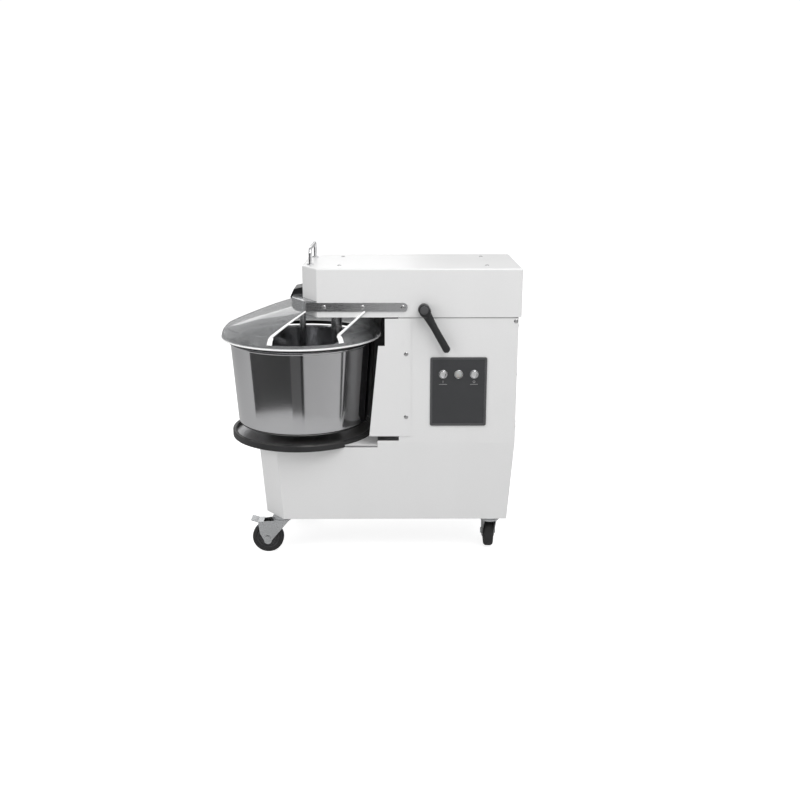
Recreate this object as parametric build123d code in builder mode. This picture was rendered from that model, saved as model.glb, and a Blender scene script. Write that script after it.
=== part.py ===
from build123d import *

import os
from math import acos, asin, copysign, cos, degrees, pi, radians, sin, sqrt

# Tilting-head spiral dough mixer with a removable bowl, on four castors.
# Millimetres. +Z is up and the floor is Z = 0. +X runs from the bowl to the back of the column.
# The controls are on the -Y side. The origin is on the floor under the middle of the machine.
# Every "_x" below is a distance from the bowl's axis, positive towards the back.

# Clearances, radial or per side
running = 0.05  # a shaft in its bore
passing = 0.5  # pieces that move past each other
bolt_gap = 0.2  # a screw in its hole
seat_gap = 0.3  # a plate inside a shell

# Sheet and plate
sheet = 2.0
strap_sheet = 3.0
deck_plate = 6.0
frame_plate = 8.0

# Castors
wheel_r = 50.0
wheel_w = 30.0
castor_h = 2 * wheel_r + 22.0
castor_trail = wheel_r - 5.0
kingpin_r = 6.0
axle_r = 6.0
fork_sheet = 3.0

# Bowl
bowl_r = 225.0
bowl_foot_r = bowl_r - 18.0
bowl_h = 269.0
bowl_wall = 2.0
bowl_corner = 14.0
bead_r = 4.0
foot_ring_r = 127.0
foot_ring_h = 10.0
foot_ring_wall = 5.0

# Plan of base and column
guard_r = bowl_r + 27.0  # rim flange of the clear bowl guard
guard_shell_r = bowl_r + 9.0
half_w = 182.0
column_depth = 358.0
column_front = guard_r + 57.0
column_back = column_front + column_depth
side_taper = 12.0  # how far each side of the base draws in at the bottom
end_taper = 17.0  # the same for the nose and the back
nose_x = -134.0
nose_fold_x = nose_x + 62.0
nose_chamfer_y = 72.0
castor_y = half_w - 46.0
castor_front_x = nose_x + 68.0
castor_back_x = column_back - 67.0

# Heights of base and column
base_bottom = castor_h
base_h = 257.0  # up to the fold where the sides turn upright
column_h = 390.0
fold_z = base_bottom + base_h
column_top = fold_z + column_h

# Shelf round the bowl's foot
deck_z = fold_z - 15.0
deck_r = bowl_foot_r + 10.0
edging_r = deck_r + 12.0
edging_h = 20.0
edging_round = 3.0
bowl_z = deck_z + edging_h + 19.0
bowl_top = bowl_z + bowl_h
ledge_gap = 14.0
ledge_x = edging_r + ledge_gap  # the sides step up behind the edging
ledge_top = fold_z + 7.0

# Spiral and breaker bar
spiral_shaft_r = 17.0
spiral_r = 62.0
spiral_bar_r = 12.0
spiral_wall_gap = 19.0
spiral_floor_gap = 9.0
spiral_x = bowl_foot_r - bowl_wall - spiral_wall_gap - spiral_r - spiral_bar_r
spiral_turns = 1.25
spiral_pitch = 150.0
breaker_r = 10.0
breaker_gap = 23.0  # between the bar and the spiral
breaker_floor_gap = 22.0
breaker_x = spiral_x - spiral_r - spiral_bar_r - breaker_gap - breaker_r

# Head
head_gap = 3.0  # between column and closed head
head_h = 145.0
head_half_w = half_w + sheet
head_front = breaker_x + 12.0
head_fold_x = head_front + 49.0
head_back = column_back + 8.0
head_chamfer_y = 82.0
head_bend = 5.0
head_z = column_top + head_gap
head_top = head_z + head_h
bowl_x = (guard_r - head_back) / 2

# Hinge at the back of the head
hinge_r = 8.0
hinge_back = 14.0  # hinge axis in front of the head's back face
hinge_rise = 45.0  # hinge axis above the head's lower edge
hinge_x = head_back - hinge_back
hinge_z = head_z + hinge_rise
knuckle_r = 11.0
cheek_y = half_w - 28.0
bracket_y = cheek_y - 28.0
bracket_w = 12.0

# Drive
spindle_r = 20.0
drive_x = column_front + 91.0  # shafts in the column and the clutch above them
drive_r = 15.0
belt_h = 12.0
belt_t = 9.0
pulley_h = 24.0
hub_h = 14.0
hub_wall = 10.0
bowl_pulley_r = 114.0
bowl_pulley_z = base_bottom + 116.0
speed_ratio = 3.0  # bowl pulley over its driving pulley
head_pulley_r = 60.0
head_pulley_z = head_z + 74.0
clutch_r = 32.0
clutch_dog_h = 9.0
dog_count = 3
dog_sector = 44.0  # degrees
shelf_z = fold_z + 13.0
gearbox_h = 90.0
motor_x = column_front + 216.0
motor_r = 70.0
motor_h = 200.0

# Gas spring
spring_y = bracket_y - 30.0
spring_head_dx = -48.0  # upper eye from the hinge axis
spring_head_dz = -12.0
spring_foot_dx = -50.0  # lower eye from the hinge axis
spring_foot_dz = -290.0
spring_tube_r = 9.0
spring_rod_r = 4.0
spring_pin_r = 4.0
spring_slot_gap = 5.5  # play of the upper pin in its lug
spring_lug_wall = 4.0

# Bowl guard
guard_z = bowl_top + 18.0
guard_flange = 7.0
guard_wall = 3.0
guard_knee_z = guard_z + 30.0
collar_h = 30.0
collar_forward = 35.0
hood_back_x = guard_shell_r - 19.0
strap_z = head_z + 18.0
collar_z = strap_z
strap_w = 26.0
strap_front_x = head_fold_x - 32.0
strap_back_x = column_front + 26.0
strap_screw_x = (head_fold_x + 21.0, hood_back_x - 14.0, strap_back_x - 14.0)

# Controls
panel_x = column_front + 181.0
panel_z = fold_z + 163.5
panel_w = 172.0
panel_h = 215.0
panel_border = 7.0
panel_sheet = 2.0
panel_corner = 6.0
button_z = panel_z + 55.5
button_pitch = 47.0
button_r = 11.0
button_round = 1.5
button_collar_r = 14.5
button_collar_h = 5.0
button_travel = 4.0
button_stands = button_travel + 4.0

# Lock lever
lever_x = column_front + 78.0
lever_z = head_z + 20.0
lever_hub_r = 18.0
lever_arm = 134.0
lever_lean = 29.5  # degrees back from hanging straight down
stud_r = 6.0

# Fasteners
screw_r = 3.0
screw_head_r = 5.5
screw_head_h = 2.6
screw_length = 12.0

# Lift handle
handle_x = head_front + 25.0
handle_y = 95.0
handle_r = 5.0
handle_h = 53.0
handle_bend = 18.0

up = (0, 0, 1)


def level(z, x=0.0, y=0.0):
    """A level plane at height z, its origin x from the bowl's axis."""
    return Plane(origin=(bowl_x + x, y, z), x_dir=(1, 0, 0), z_dir=up)


def near_side(y, x=0.0, z=0.0):
    """An upright plane along the machine, facing -Y, with its local y upwards."""
    return Plane(origin=(bowl_x + x, y, z), x_dir=(1, 0, 0), z_dir=(0, -1, 0))


def back_face(x, y=0.0, z=0.0):
    """An upright plane across the machine, facing +X, with its local y upwards."""
    return Plane(origin=(bowl_x + x, y, z), x_dir=(0, 1, 0), z_dir=(1, 0, 0))


def upright(x, y=0.0):
    """The upright axis at x, y."""
    return Axis((bowl_x + x, y, 0), up)


def save(piece, name):
    """Writes one finished sub-part."""
    piece.part.label = name
    export_step(piece.part, f"parts/{name}.step")


def turned(profile, x=0.0, y=0.0):
    """A turned piece from its half section, given as (radius, height) points."""
    with BuildPart() as piece:
        with BuildSketch(near_side(y, x)):
            with BuildLine():
                Polyline(*profile, close=True)
            make_face()
        revolve(axis=upright(x, y))
    return piece


def pulley_profile(radius, bore, z):
    """Half section of a belt pulley with one groove and a hub below it."""
    boss = bore + hub_wall
    groove = radius - belt_t
    low = z + (pulley_h - belt_h) / 2 - passing
    high = low + belt_h + 2 * passing
    web = z + pulley_h
    points = [(bore, z - hub_h), (boss, z - hub_h), (boss, z), (radius, z), (radius, low)]
    points += [(groove, low), (groove, high), (radius, high), (radius, web), (bore, web)]
    return points


def base_outline(drop):
    """Plan of the base, from the fold (drop 0) to the bottom edge (drop 1)."""
    side = half_w - side_taper * drop
    front = nose_x + end_taper * drop
    fold = nose_fold_x + end_taper * drop
    back = column_back - end_taper * drop
    nose = side - nose_chamfer_y
    return [(back, side), (fold, side), (front, nose), (front, -nose), (fold, -side), (back, -side)]


def head_outline(grow=0.0):
    """Plan of the head, grown outwards by the given distance."""
    half = head_half_w + grow
    nose = head_half_w - head_chamfer_y + grow / 2
    fold = head_fold_x - grow / 2
    front = head_front - grow
    back = head_back + grow
    return [(back, half), (fold, half), (front, nose), (front, -nose), (fold, -half), (back, -half)]


os.makedirs("parts", exist_ok=True)

# ---------------------------------------------------------------- base and column

side_screw = (column_back - 8.0, column_top - 9.0)
guard_screw_x = column_front + 22.0
guard_screws = ((guard_screw_x, column_top - 109.0), (guard_screw_x, fold_z + 84.0))
cover_half_w = half_w - 17.0
cover_low = shelf_z + 40.0
cover_high = column_top - 19.0
cover_margin = 8.0
cover_screws = [
    (y, z)
    for y in (-cover_half_w + cover_margin, cover_half_w - cover_margin)
    for z in (cover_low + cover_margin, (cover_low + cover_high) / 2, cover_high - cover_margin)
]
opening_inset = 16.0
screw_hole_r = screw_r + bolt_gap
button_hole_r = button_r + passing
button_x = (panel_x - button_pitch, panel_x, panel_x + button_pitch)
gland_y = 62.0 - half_w
gland_z = shelf_z + 23.0
gland_r = 8.0
gland_bore_r = 5.5

with BuildPart() as body_shell:
    for z, drop in ((base_bottom, 1), (fold_z, 0)):
        with BuildSketch(level(z)):
            Polygon(*base_outline(drop), align=None)
    loft()
    with BuildSketch(level(deck_z, (nose_x + ledge_x) / 2)):
        Rectangle(ledge_x - nose_x, 3 * half_w)
    extrude(amount=base_h, mode=Mode.SUBTRACT)
    with BuildSketch(level(fold_z, (ledge_x + column_back) / 2)):
        Rectangle(column_back - ledge_x, 2 * half_w)
    extrude(amount=ledge_top - fold_z)
    with BuildSketch(level(fold_z, (column_front + column_back) / 2)):
        Rectangle(column_back - column_front, 2 * half_w)
    extrude(amount=column_h)
    for z, drop in ((base_bottom, 1), (fold_z, 0)):
        with BuildSketch(level(z)):
            Polygon(*base_outline(drop), align=None)
            offset(amount=-sheet, kind=Kind.INTERSECTION, mode=Mode.REPLACE)
    loft(mode=Mode.SUBTRACT)
    with BuildSketch(level(fold_z, (ledge_x + column_front) / 2)):
        Rectangle(column_front - ledge_x, 2 * (half_w - sheet))
    extrude(amount=column_h, mode=Mode.SUBTRACT)
    with BuildSketch(level(fold_z, (column_front + column_back) / 2)):
        Rectangle(column_back - column_front - 2 * sheet, 2 * (half_w - sheet))
    extrude(amount=column_h, mode=Mode.SUBTRACT)
    with BuildSketch(level(deck_z + deck_plate, column_front + sheet / 2)):
        Rectangle(sheet, 2 * (half_w - sheet / 2))
    extrude(amount=fold_z - deck_z)
    with BuildSketch(back_face(column_back - 2 * sheet, 0, (cover_low + cover_high) / 2)):
        Rectangle(
            2 * (cover_half_w - opening_inset),
            cover_high - cover_low - 2 * opening_inset,
        )
    extrude(amount=3 * sheet, mode=Mode.SUBTRACT)
    with BuildSketch(back_face(column_back - 2 * sheet)):
        with Locations(*cover_screws):
            Circle(screw_hole_r)
        with Locations((gland_y, gland_z)):
            Circle(gland_r)
    extrude(amount=3 * sheet, mode=Mode.SUBTRACT)
    with BuildSketch(near_side(half_w + sheet)):
        with Locations(side_screw, *guard_screws):
            Circle(screw_hole_r)
    extrude(amount=2 * half_w + 2 * sheet, mode=Mode.SUBTRACT)
    with BuildSketch(near_side(2 * sheet - half_w)):
        with Locations(*[(x, button_z) for x in button_x]):
            Circle(button_hole_r)
    extrude(amount=3 * sheet, mode=Mode.SUBTRACT)
save(body_shell, "body_shell")

castors = {
    "front_near": (castor_front_x, -castor_y, 180.0),
    "front_far": (castor_front_x, castor_y, 15.0),
    "back_near": (castor_back_x, -castor_y, 90.0),
    "back_far": (castor_back_x, castor_y, 90.0),
}
castor_places = [(x, y) for x, y, _ in castors.values()]

with BuildPart() as floor_plate:
    with BuildSketch(level(base_bottom)):
        Polygon(*base_outline(1), align=None)
        offset(amount=-sheet - seat_gap, kind=Kind.INTERSECTION, mode=Mode.REPLACE)
        with Locations(*castor_places):
            Circle(kingpin_r + bolt_gap, mode=Mode.SUBTRACT)
    extrude(amount=deck_plate)
save(floor_plate, "floor_plate")

hub_bore_r = 2 * spindle_r
hub_r = hub_bore_r + 12.0
hub_flange_r = 90.0
hub_flange_h = 14.0
hub_z = bowl_pulley_z + pulley_h + 10.0

deck_half_w = half_w - side_taper * (fold_z - deck_z) / base_h - sheet - seat_gap
deck_start = sqrt(deck_r**2 - deck_half_w**2) - 14.0  # inside the round front
deck_run = column_front + sheet - deck_start

with BuildPart() as shelf_disc:
    with BuildSketch(level(deck_z)):
        Circle(deck_r)
        with Locations((deck_start + deck_run / 2, 0)):
            Rectangle(deck_run, 2 * deck_half_w)
        Circle(hub_bore_r, mode=Mode.SUBTRACT)
    extrude(amount=deck_plate)
save(shelf_disc, "shelf_disc")

with BuildPart() as shelf_edging:
    with BuildSketch(level(deck_z)):
        Circle(edging_r)
        Circle(deck_r, mode=Mode.SUBTRACT)
    extrude(amount=edging_h)
    with BuildSketch(level(deck_z, deck_start + edging_r)):
        Rectangle(2 * edging_r, 2 * (deck_half_w + seat_gap))
    extrude(amount=deck_plate + seat_gap, mode=Mode.SUBTRACT)  # it lies on the straight part of the deck
    rim = shelf_edging.faces().filter_by(Axis.Z).sort_by(Axis.Z)[-1]
    fillet(rim.edges().filter_by(GeomType.CIRCLE), edging_round)
save(shelf_edging, "shelf_edging")

cap_drop = deck_plate
cap_z = column_top - cap_drop
lug_y = half_w - 13.0
lug_t = 6.0
lug_half_w = 16.0
slot_gap = 1.5
spring_gap_x = hinge_x + spring_head_dx
spring_window = (46.0, 40.0)

with BuildPart() as column_cap:
    with BuildSketch(level(cap_z, (column_front + column_back) / 2)):
        Rectangle(
            column_back - column_front - 2 * (sheet + seat_gap),
            2 * (half_w - sheet - seat_gap),
        )
    extrude(amount=cap_drop)
    with BuildSketch(level(cap_z, drive_x)):
        Circle(clutch_r + 2 * sheet)
    extrude(amount=cap_drop, mode=Mode.SUBTRACT)
    with BuildSketch(level(cap_z, spring_gap_x, spring_y)):
        Rectangle(*spring_window)
    extrude(amount=cap_drop, mode=Mode.SUBTRACT)
    for y in (-bracket_y, bracket_y):
        with BuildSketch(near_side(y + bracket_w / 2, hinge_x, hinge_z)):
            Circle(knuckle_r)
            with Locations((0, (column_top - hinge_z) / 2)):
                Rectangle(2 * knuckle_r, hinge_z - column_top)
            Circle(hinge_r, mode=Mode.SUBTRACT)
        extrude(amount=bracket_w)
    with BuildSketch(near_side(lug_t / 2 - lug_y, lever_x, column_top)):
        with Locations((0, (lever_z - column_top) / 2 + stud_r)):
            Rectangle(2 * lug_half_w, lever_z - column_top + 2 * stud_r)
        with Locations((0, lever_z - column_top)):
            Circle(stud_r + slot_gap, mode=Mode.SUBTRACT)
        with Locations((0, lever_z - column_top + 2 * stud_r)):
            Rectangle(2 * (stud_r + slot_gap), 4 * stud_r, mode=Mode.SUBTRACT)
    extrude(amount=lug_t)
save(column_cap, "column_cap")

with BuildPart() as hinge_shaft:
    with BuildSketch(near_side(cheek_y + frame_plate, hinge_x, hinge_z)):
        Circle(hinge_r)
    extrude(amount=2 * (cheek_y + frame_plate))
save(hinge_shaft, "hinge_shaft")

slot_rows = 9
slot_pitch = 16.0
slot_size = (150.0, 5.0)
cover_sheet = 1.5

with BuildPart() as rear_cover:
    with BuildSketch(back_face(column_back, 0, (cover_low + cover_high) / 2)):
        Rectangle(2 * cover_half_w, cover_high - cover_low)
        with GridLocations(0, slot_pitch, 1, slot_rows):
            SlotOverall(*slot_size, mode=Mode.SUBTRACT)
    extrude(amount=cover_sheet)
    with BuildSketch(back_face(column_back)):
        with Locations(*cover_screws):
            Circle(screw_hole_r)
    extrude(amount=cover_sheet, mode=Mode.SUBTRACT)
save(rear_cover, "rear_cover")

guard_plate_back = column_front + 37.0
guard_plate_low = fold_z + 22.0
guard_plate_high = column_top - 1.0
guard_step_z = column_top - 84.0
guard_upper_x = column_front - 42.0
guard_middle_x = column_front - 62.0
guard_lower_x = column_front - 91.0

with BuildPart() as side_guards:
    with BuildSketch(near_side(-half_w)):
        Polygon(
            (guard_plate_back, guard_plate_low),
            (guard_plate_back, guard_plate_high),
            (guard_upper_x, guard_plate_high),
            (guard_upper_x, guard_step_z),
            (guard_middle_x, guard_step_z),
            (guard_lower_x, guard_plate_low),
            align=None,
        )
        with Locations(*guard_screws):
            Circle(screw_hole_r, mode=Mode.SUBTRACT)
    extrude(amount=sheet)
    mirror(about=Plane.XZ)
save(side_guards, "side_guards")


def screw(face):
    """A dome-head screw whose head sits on a face plane, pointing outwards along it."""
    head = Plane(origin=face.origin, x_dir=face.x_dir, z_dir=face.z_dir)
    with BuildPart(mode=Mode.PRIVATE) as piece:
        with BuildSketch(head):
            Circle(screw_head_r)
        extrude(amount=screw_head_h)
        chamfer(piece.faces().sort_by(Axis(head.origin, head.z_dir))[-1].edges(), screw_head_h / 2)
        with BuildSketch(head):
            Circle(screw_r)
        extrude(amount=-screw_length)
    return piece.part


def far_side(y, x=0.0, z=0.0):
    """The mirror of near_side, facing +Y."""
    return Plane(origin=(bowl_x + x, y, z), x_dir=(-1, 0, 0), z_dir=(0, 1, 0))


screw_faces = []
screw_faces += [near_side(-half_w, *side_screw), far_side(half_w, *side_screw)]
for x, z in guard_screws:
    screw_faces += [near_side(-half_w - sheet, x, z), far_side(half_w + sheet, x, z)]
for y, z in cover_screws:
    screw_faces.append(back_face(column_back + cover_sheet, y, z))

with BuildPart() as body_screws:
    for face in screw_faces:
        add(screw(face))
save(body_screws, "body_screws")

gland_flange_r = 13.0
gland_stands = head_back - column_back - passing
gland_nut_h = 5.0

with BuildPart() as cable_gland:
    with BuildSketch(back_face(column_back, gland_y, gland_z)):
        RegularPolygon(gland_flange_r, 6)
    extrude(amount=gland_stands)
    with BuildSketch(back_face(column_back - sheet, gland_y, gland_z)):
        Circle(gland_r)
    extrude(amount=sheet)
    with BuildSketch(back_face(column_back - sheet - gland_nut_h, gland_y, gland_z)):
        RegularPolygon(gland_flange_r, 6)
    extrude(amount=gland_nut_h)
    with BuildSketch(back_face(column_back - sheet - gland_nut_h, gland_y, gland_z)):
        Circle(gland_bore_r)
    extrude(amount=gland_stands + sheet + gland_nut_h, mode=Mode.SUBTRACT)
save(cable_gland, "cable_gland")

# ---------------------------------------------------------------- controls

panel_lip = 1.0

with BuildPart() as control_frame:
    with BuildSketch(near_side(-half_w, panel_x, panel_z)):
        RectangleRounded(panel_w, panel_h, panel_corner)
        Rectangle(panel_w - 2 * panel_border, panel_h - 2 * panel_border, mode=Mode.SUBTRACT)
    extrude(amount=panel_sheet + panel_lip)
save(control_frame, "control_frame")

with BuildPart() as control_plate:
    with BuildSketch(near_side(-half_w, panel_x, panel_z)):
        Rectangle(panel_w - 2 * panel_border, panel_h - 2 * panel_border)
        with Locations(*[(x - panel_x, button_z - panel_z) for x in button_x]):
            Circle(button_hole_r, mode=Mode.SUBTRACT)
    extrude(amount=panel_sheet)
save(control_plate, "control_plate")

with BuildPart() as button_collars:
    with BuildSketch(near_side(-half_w - panel_sheet)):
        with Locations(*[(x, button_z) for x in button_x]):
            Circle(button_collar_r)
            Circle(button_hole_r, mode=Mode.SUBTRACT)
    extrude(amount=button_collar_h)
save(button_collars, "button_collars")

button_stem = 16.0
for name, x in zip(("start_button", "pilot_lamp", "stop_button"), button_x):
    with BuildPart() as button:
        with BuildSketch(near_side(-half_w - panel_sheet - button_stands, x, button_z)):
            Circle(button_r)
        extrude(amount=-button_stands - button_stem)
        fillet(button.faces().sort_by(Axis.Y)[0].edges(), button_round)
    save(button, name)

box_w = 150.0
box_h = 180.0
box_depth = 80.0
box_wall = 3.0

with BuildPart() as control_box:
    with BuildSketch(near_side(sheet - half_w, panel_x, panel_z)):
        Rectangle(box_w, box_h)
    extrude(amount=-box_depth)
    with BuildSketch(near_side(sheet - half_w, panel_x, panel_z)):
        Rectangle(box_w - 2 * box_wall, box_h - 2 * box_wall)
    extrude(amount=-box_depth + box_wall, mode=Mode.SUBTRACT)
save(control_box, "control_box")

# ---------------------------------------------------------------- drive in the column and base

gearbox_back = column_front + 291.0
gearbox_front = column_front + 36.0
gearbox_half_w = 75.0
gearbox_corner = 20.0
gearbox_z = shelf_z + frame_plate
gearbox_top = gearbox_z + gearbox_h
shaft_socket = 30.0
post_t = 8.0
post_half_w = 14.0
spring_foot_x = hinge_x + spring_foot_dx
spring_foot_z = hinge_z + spring_foot_dz
post_y = spring_y + spring_tube_r + passing + post_t

with BuildPart() as gear_shelf:
    with BuildSketch(level(shelf_z, (column_front + column_back) / 2)):
        Rectangle(
            column_back - column_front - 2 * (sheet + seat_gap),
            2 * (half_w - sheet - seat_gap),
        )
    extrude(amount=frame_plate)
    with BuildSketch(level(shelf_z, drive_x)):
        Circle(drive_r + 2 * sheet)
    extrude(amount=frame_plate, mode=Mode.SUBTRACT)
    with BuildSketch(near_side(post_y, spring_foot_x, gearbox_z)):
        with Locations((0, (spring_foot_z - gearbox_z) / 2)):
            Rectangle(2 * post_half_w, spring_foot_z - gearbox_z)
        with Locations((0, spring_foot_z - gearbox_z)):
            Circle(post_half_w)
            Circle(spring_pin_r + running, mode=Mode.SUBTRACT)
    extrude(amount=post_t)
save(gear_shelf, "gear_shelf")

with BuildPart() as gearbox:
    with BuildSketch(level(gearbox_z, (gearbox_front + gearbox_back) / 2)):
        RectangleRounded(gearbox_back - gearbox_front, 2 * gearbox_half_w, gearbox_corner)
    extrude(amount=gearbox_h)
    for z in (gearbox_z, gearbox_top - shaft_socket):
        with BuildSketch(level(z, drive_x)):
            Circle(drive_r + running)
        extrude(amount=shaft_socket, mode=Mode.SUBTRACT)
save(gearbox, "gearbox")

motor_step = 8.0  # flange and end cap, beyond and inside the casing
motor_flange_h = 12.0
motor_cap_h = 25.0
motor = turned(
    [
        (0, gearbox_top),
        (motor_r + motor_step, gearbox_top),
        (motor_r + motor_step, gearbox_top + motor_flange_h),
        (motor_r, gearbox_top + motor_flange_h),
        (motor_r, gearbox_top + motor_h - motor_cap_h),
        (motor_r - motor_step, gearbox_top + motor_h),
        (0, gearbox_top + motor_h),
    ],
    motor_x,
)
save(motor, "motor")

drive_pulley_r = bowl_pulley_r / speed_ratio
lower_shaft_z = bowl_pulley_z - hub_h
lower_shaft_top = gearbox_z + shaft_socket - passing

lower_shaft = turned(
    [(0, lower_shaft_z), (drive_r, lower_shaft_z), (drive_r, lower_shaft_top), (0, lower_shaft_top)],
    drive_x,
)
save(lower_shaft, "lower_shaft")

lower_pulley = turned(
    pulley_profile(drive_pulley_r, drive_r, bowl_pulley_z), drive_x
)
save(lower_pulley, "lower_pulley")

bowl_pulley = turned(pulley_profile(bowl_pulley_r, spindle_r, bowl_pulley_z))
save(bowl_pulley, "bowl_pulley")


def belt(z, first_x, first_r, second_x, second_r):
    """A flat-sided belt round two pulleys, clear of their grooves by the passing gap."""
    with BuildPart() as piece:
        low = z + (pulley_h - belt_h) / 2
        for rise, mode in ((passing + belt_t, Mode.ADD), (passing, Mode.SUBTRACT)):
            big = first_r - belt_t + rise
            small = second_r - belt_t + rise
            span = second_x - first_x
            tangent = acos((big - small) / span)
            c, s = cos(tangent), sin(tangent)
            with BuildSketch(level(low, first_x)):
                with BuildLine():
                    top = Line((big * c, big * s), (span + small * c, small * s))
                    bottom = Line((span + small * c, -small * s), (big * c, -big * s))
                    ThreePointArc(top @ 1, (span + small, 0), bottom @ 0)
                    ThreePointArc(bottom @ 1, (-big, 0), top @ 0)
                make_face()
            extrude(amount=belt_h, mode=mode)
    return piece


bowl_belt = belt(bowl_pulley_z, 0, bowl_pulley_r, drive_x, drive_pulley_r)
save(bowl_belt, "bowl_belt")

bowl_hub = turned(
    [
        (hub_bore_r, hub_z),
        (hub_r, hub_z),
        (hub_r, deck_z - hub_flange_h),
        (hub_flange_r, deck_z - hub_flange_h),
        (hub_flange_r, deck_z),
        (hub_bore_r, deck_z),
    ]
)
save(bowl_hub, "bowl_hub")

bearing_h = 18.0
bearing_inset = 4.0
with BuildPart() as bowl_bearings:
    for z in (hub_z + bearing_inset, deck_z - bearing_inset - bearing_h):
        with BuildSketch(level(z)):
            Circle(hub_bore_r)
            Circle(spindle_r + running, mode=Mode.SUBTRACT)
        extrude(amount=bearing_h)
save(bowl_bearings, "bowl_bearings")

turntable_r = foot_ring_r - foot_ring_wall - passing
turntable_h = 18.0
turntable_z = bowl_z - turntable_h
pocket_r = 16.0
pocket_count = 6
pocket_ring_r = 80.0
spindle_z = bowl_pulley_z - hub_h

bowl_spindle = turned([(0, spindle_z), (spindle_r, spindle_z), (spindle_r, turntable_z), (0, turntable_z)])
save(bowl_spindle, "bowl_spindle")

with BuildPart() as turntable:
    with BuildSketch(level(turntable_z)):
        Circle(turntable_r)
    extrude(amount=turntable_h)
    with BuildSketch(level(turntable_z)):
        with PolarLocations(pocket_ring_r, pocket_count):
            Circle(pocket_r)
    extrude(amount=turntable_h - deck_plate, mode=Mode.SUBTRACT)
save(turntable, "turntable")

# ---------------------------------------------------------------- bowl

with BuildPart() as bowl:
    with BuildSketch(near_side(0)):
        with BuildLine():
            outer = FilletPolyline(
                (0, bowl_z), (bowl_foot_r, bowl_z), (bowl_r, bowl_top - bead_r), radius=bowl_corner
            )
            inner = FilletPolyline(
                (0, bowl_z + bowl_wall),
                (bowl_foot_r - bowl_wall, bowl_z + bowl_wall),
                (bowl_r - bowl_wall, bowl_top - bead_r),
                radius=bowl_corner - bowl_wall,
            )
            Line(outer @ 0, inner @ 0)
            Line(outer @ 1, inner @ 1)
        make_face()
        with Locations((bowl_r, bowl_top - bead_r)):
            Circle(bead_r)
    revolve(axis=upright(0))
    with BuildSketch(level(bowl_z - foot_ring_h)):
        Circle(foot_ring_r)
        Circle(foot_ring_r - foot_ring_wall, mode=Mode.SUBTRACT)
    extrude(amount=foot_ring_h)
save(bowl, "bowl")

# ---------------------------------------------------------------- clutch between column and head

dog_in = drive_r + 3
clutch_rise = 2.0  # upper half above the head's lower edge
upper_clutch_z = head_z + clutch_rise
clutch_z = upper_clutch_z - clutch_dog_h - 1.0  # mouth of the lower half
lower_clutch_h = 20.0
clutch_flange = 7.5

upper_shaft_z = gearbox_top - shaft_socket + passing
upper_shaft = turned(
    [
        (0, upper_shaft_z),
        (drive_r, upper_shaft_z),
        (drive_r, clutch_z),
        (0, clutch_z),
    ],
    drive_x,
)
save(upper_shaft, "upper_shaft")


def clutch_half(disc_z, disc_h, dog_z, start):
    """One half of the dog clutch: a bored disc with its dogs."""
    with BuildPart() as piece:
        with BuildSketch(level(disc_z, drive_x)):
            Circle(clutch_r)
            Circle(drive_r, mode=Mode.SUBTRACT)
        extrude(amount=disc_h)
        with BuildSketch(level(dog_z, drive_x)) as wedge:
            for k in range(dog_count):
                mid = radians(start + 360 / dog_count * k)
                reach = radians(dog_sector / 2)
                with BuildLine():
                    ends = []
                    for r in (dog_in, clutch_r):
                        a = (r * cos(mid - reach), r * sin(mid - reach))
                        b = (r * cos(mid), r * sin(mid))
                        c = (r * cos(mid + reach), r * sin(mid + reach))
                        ThreePointArc(a, b, c)
                        ends.append((a, c))
                    Line(ends[0][0], ends[1][0])
                    Line(ends[0][1], ends[1][1])
                make_face()
        extrude(amount=clutch_dog_h)
    return piece


clutch_lower = clutch_half(clutch_z - lower_clutch_h, lower_clutch_h, clutch_z, 0)
save(clutch_lower, "clutch_lower")
clutch_upper = clutch_half(upper_clutch_z, clutch_flange, upper_clutch_z - clutch_dog_h, 180 / dog_count)
save(clutch_upper, "clutch_upper")

# ---------------------------------------------------------------- head

chassis_z = head_z + clutch_rise
chassis_back = hinge_x - 64.0
chassis_top = chassis_z + frame_plate
notch_h = hinge_rise + knuckle_r + 3.0
notch_side = 3.0
lug_slot_gap = 4.0
input_hole_gap = 4.0
cheek_front = column_front - 9.0
cheek_h = 60.0

with BuildPart() as head_shell:
    with BuildSketch(level(head_z)):
        Polygon(*head_outline(), align=None)
    extrude(amount=head_h)
    fillet(head_shell.edges().filter_by(Axis.Z), 2 * sheet)
    fillet(head_shell.faces().sort_by(Axis.Z)[-1].edges(), head_bend)
    with BuildSketch(level(head_z)):
        Polygon(*head_outline(-sheet), align=None)
    extrude(amount=head_h - sheet, mode=Mode.SUBTRACT)
    for y in (-bracket_y, bracket_y):
        with BuildSketch(back_face(head_back - 2 * sheet, y, head_z + notch_h / 2)):
            Rectangle(bracket_w + 2 * notch_side, notch_h)
        extrude(amount=3 * sheet, mode=Mode.SUBTRACT)
    with BuildSketch(near_side(-head_half_w + 2 * sheet, lever_x, lever_z)):
        Circle(stud_r + running)
    extrude(amount=3 * sheet, mode=Mode.SUBTRACT)
    with BuildSketch(near_side(head_half_w + sheet)):
        with Locations(*[(x, strap_z + strap_w / 2) for x in strap_screw_x]):
            Circle(screw_hole_r)
    extrude(amount=2 * head_half_w + 2 * sheet, mode=Mode.SUBTRACT)
save(head_shell, "head_shell")

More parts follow.
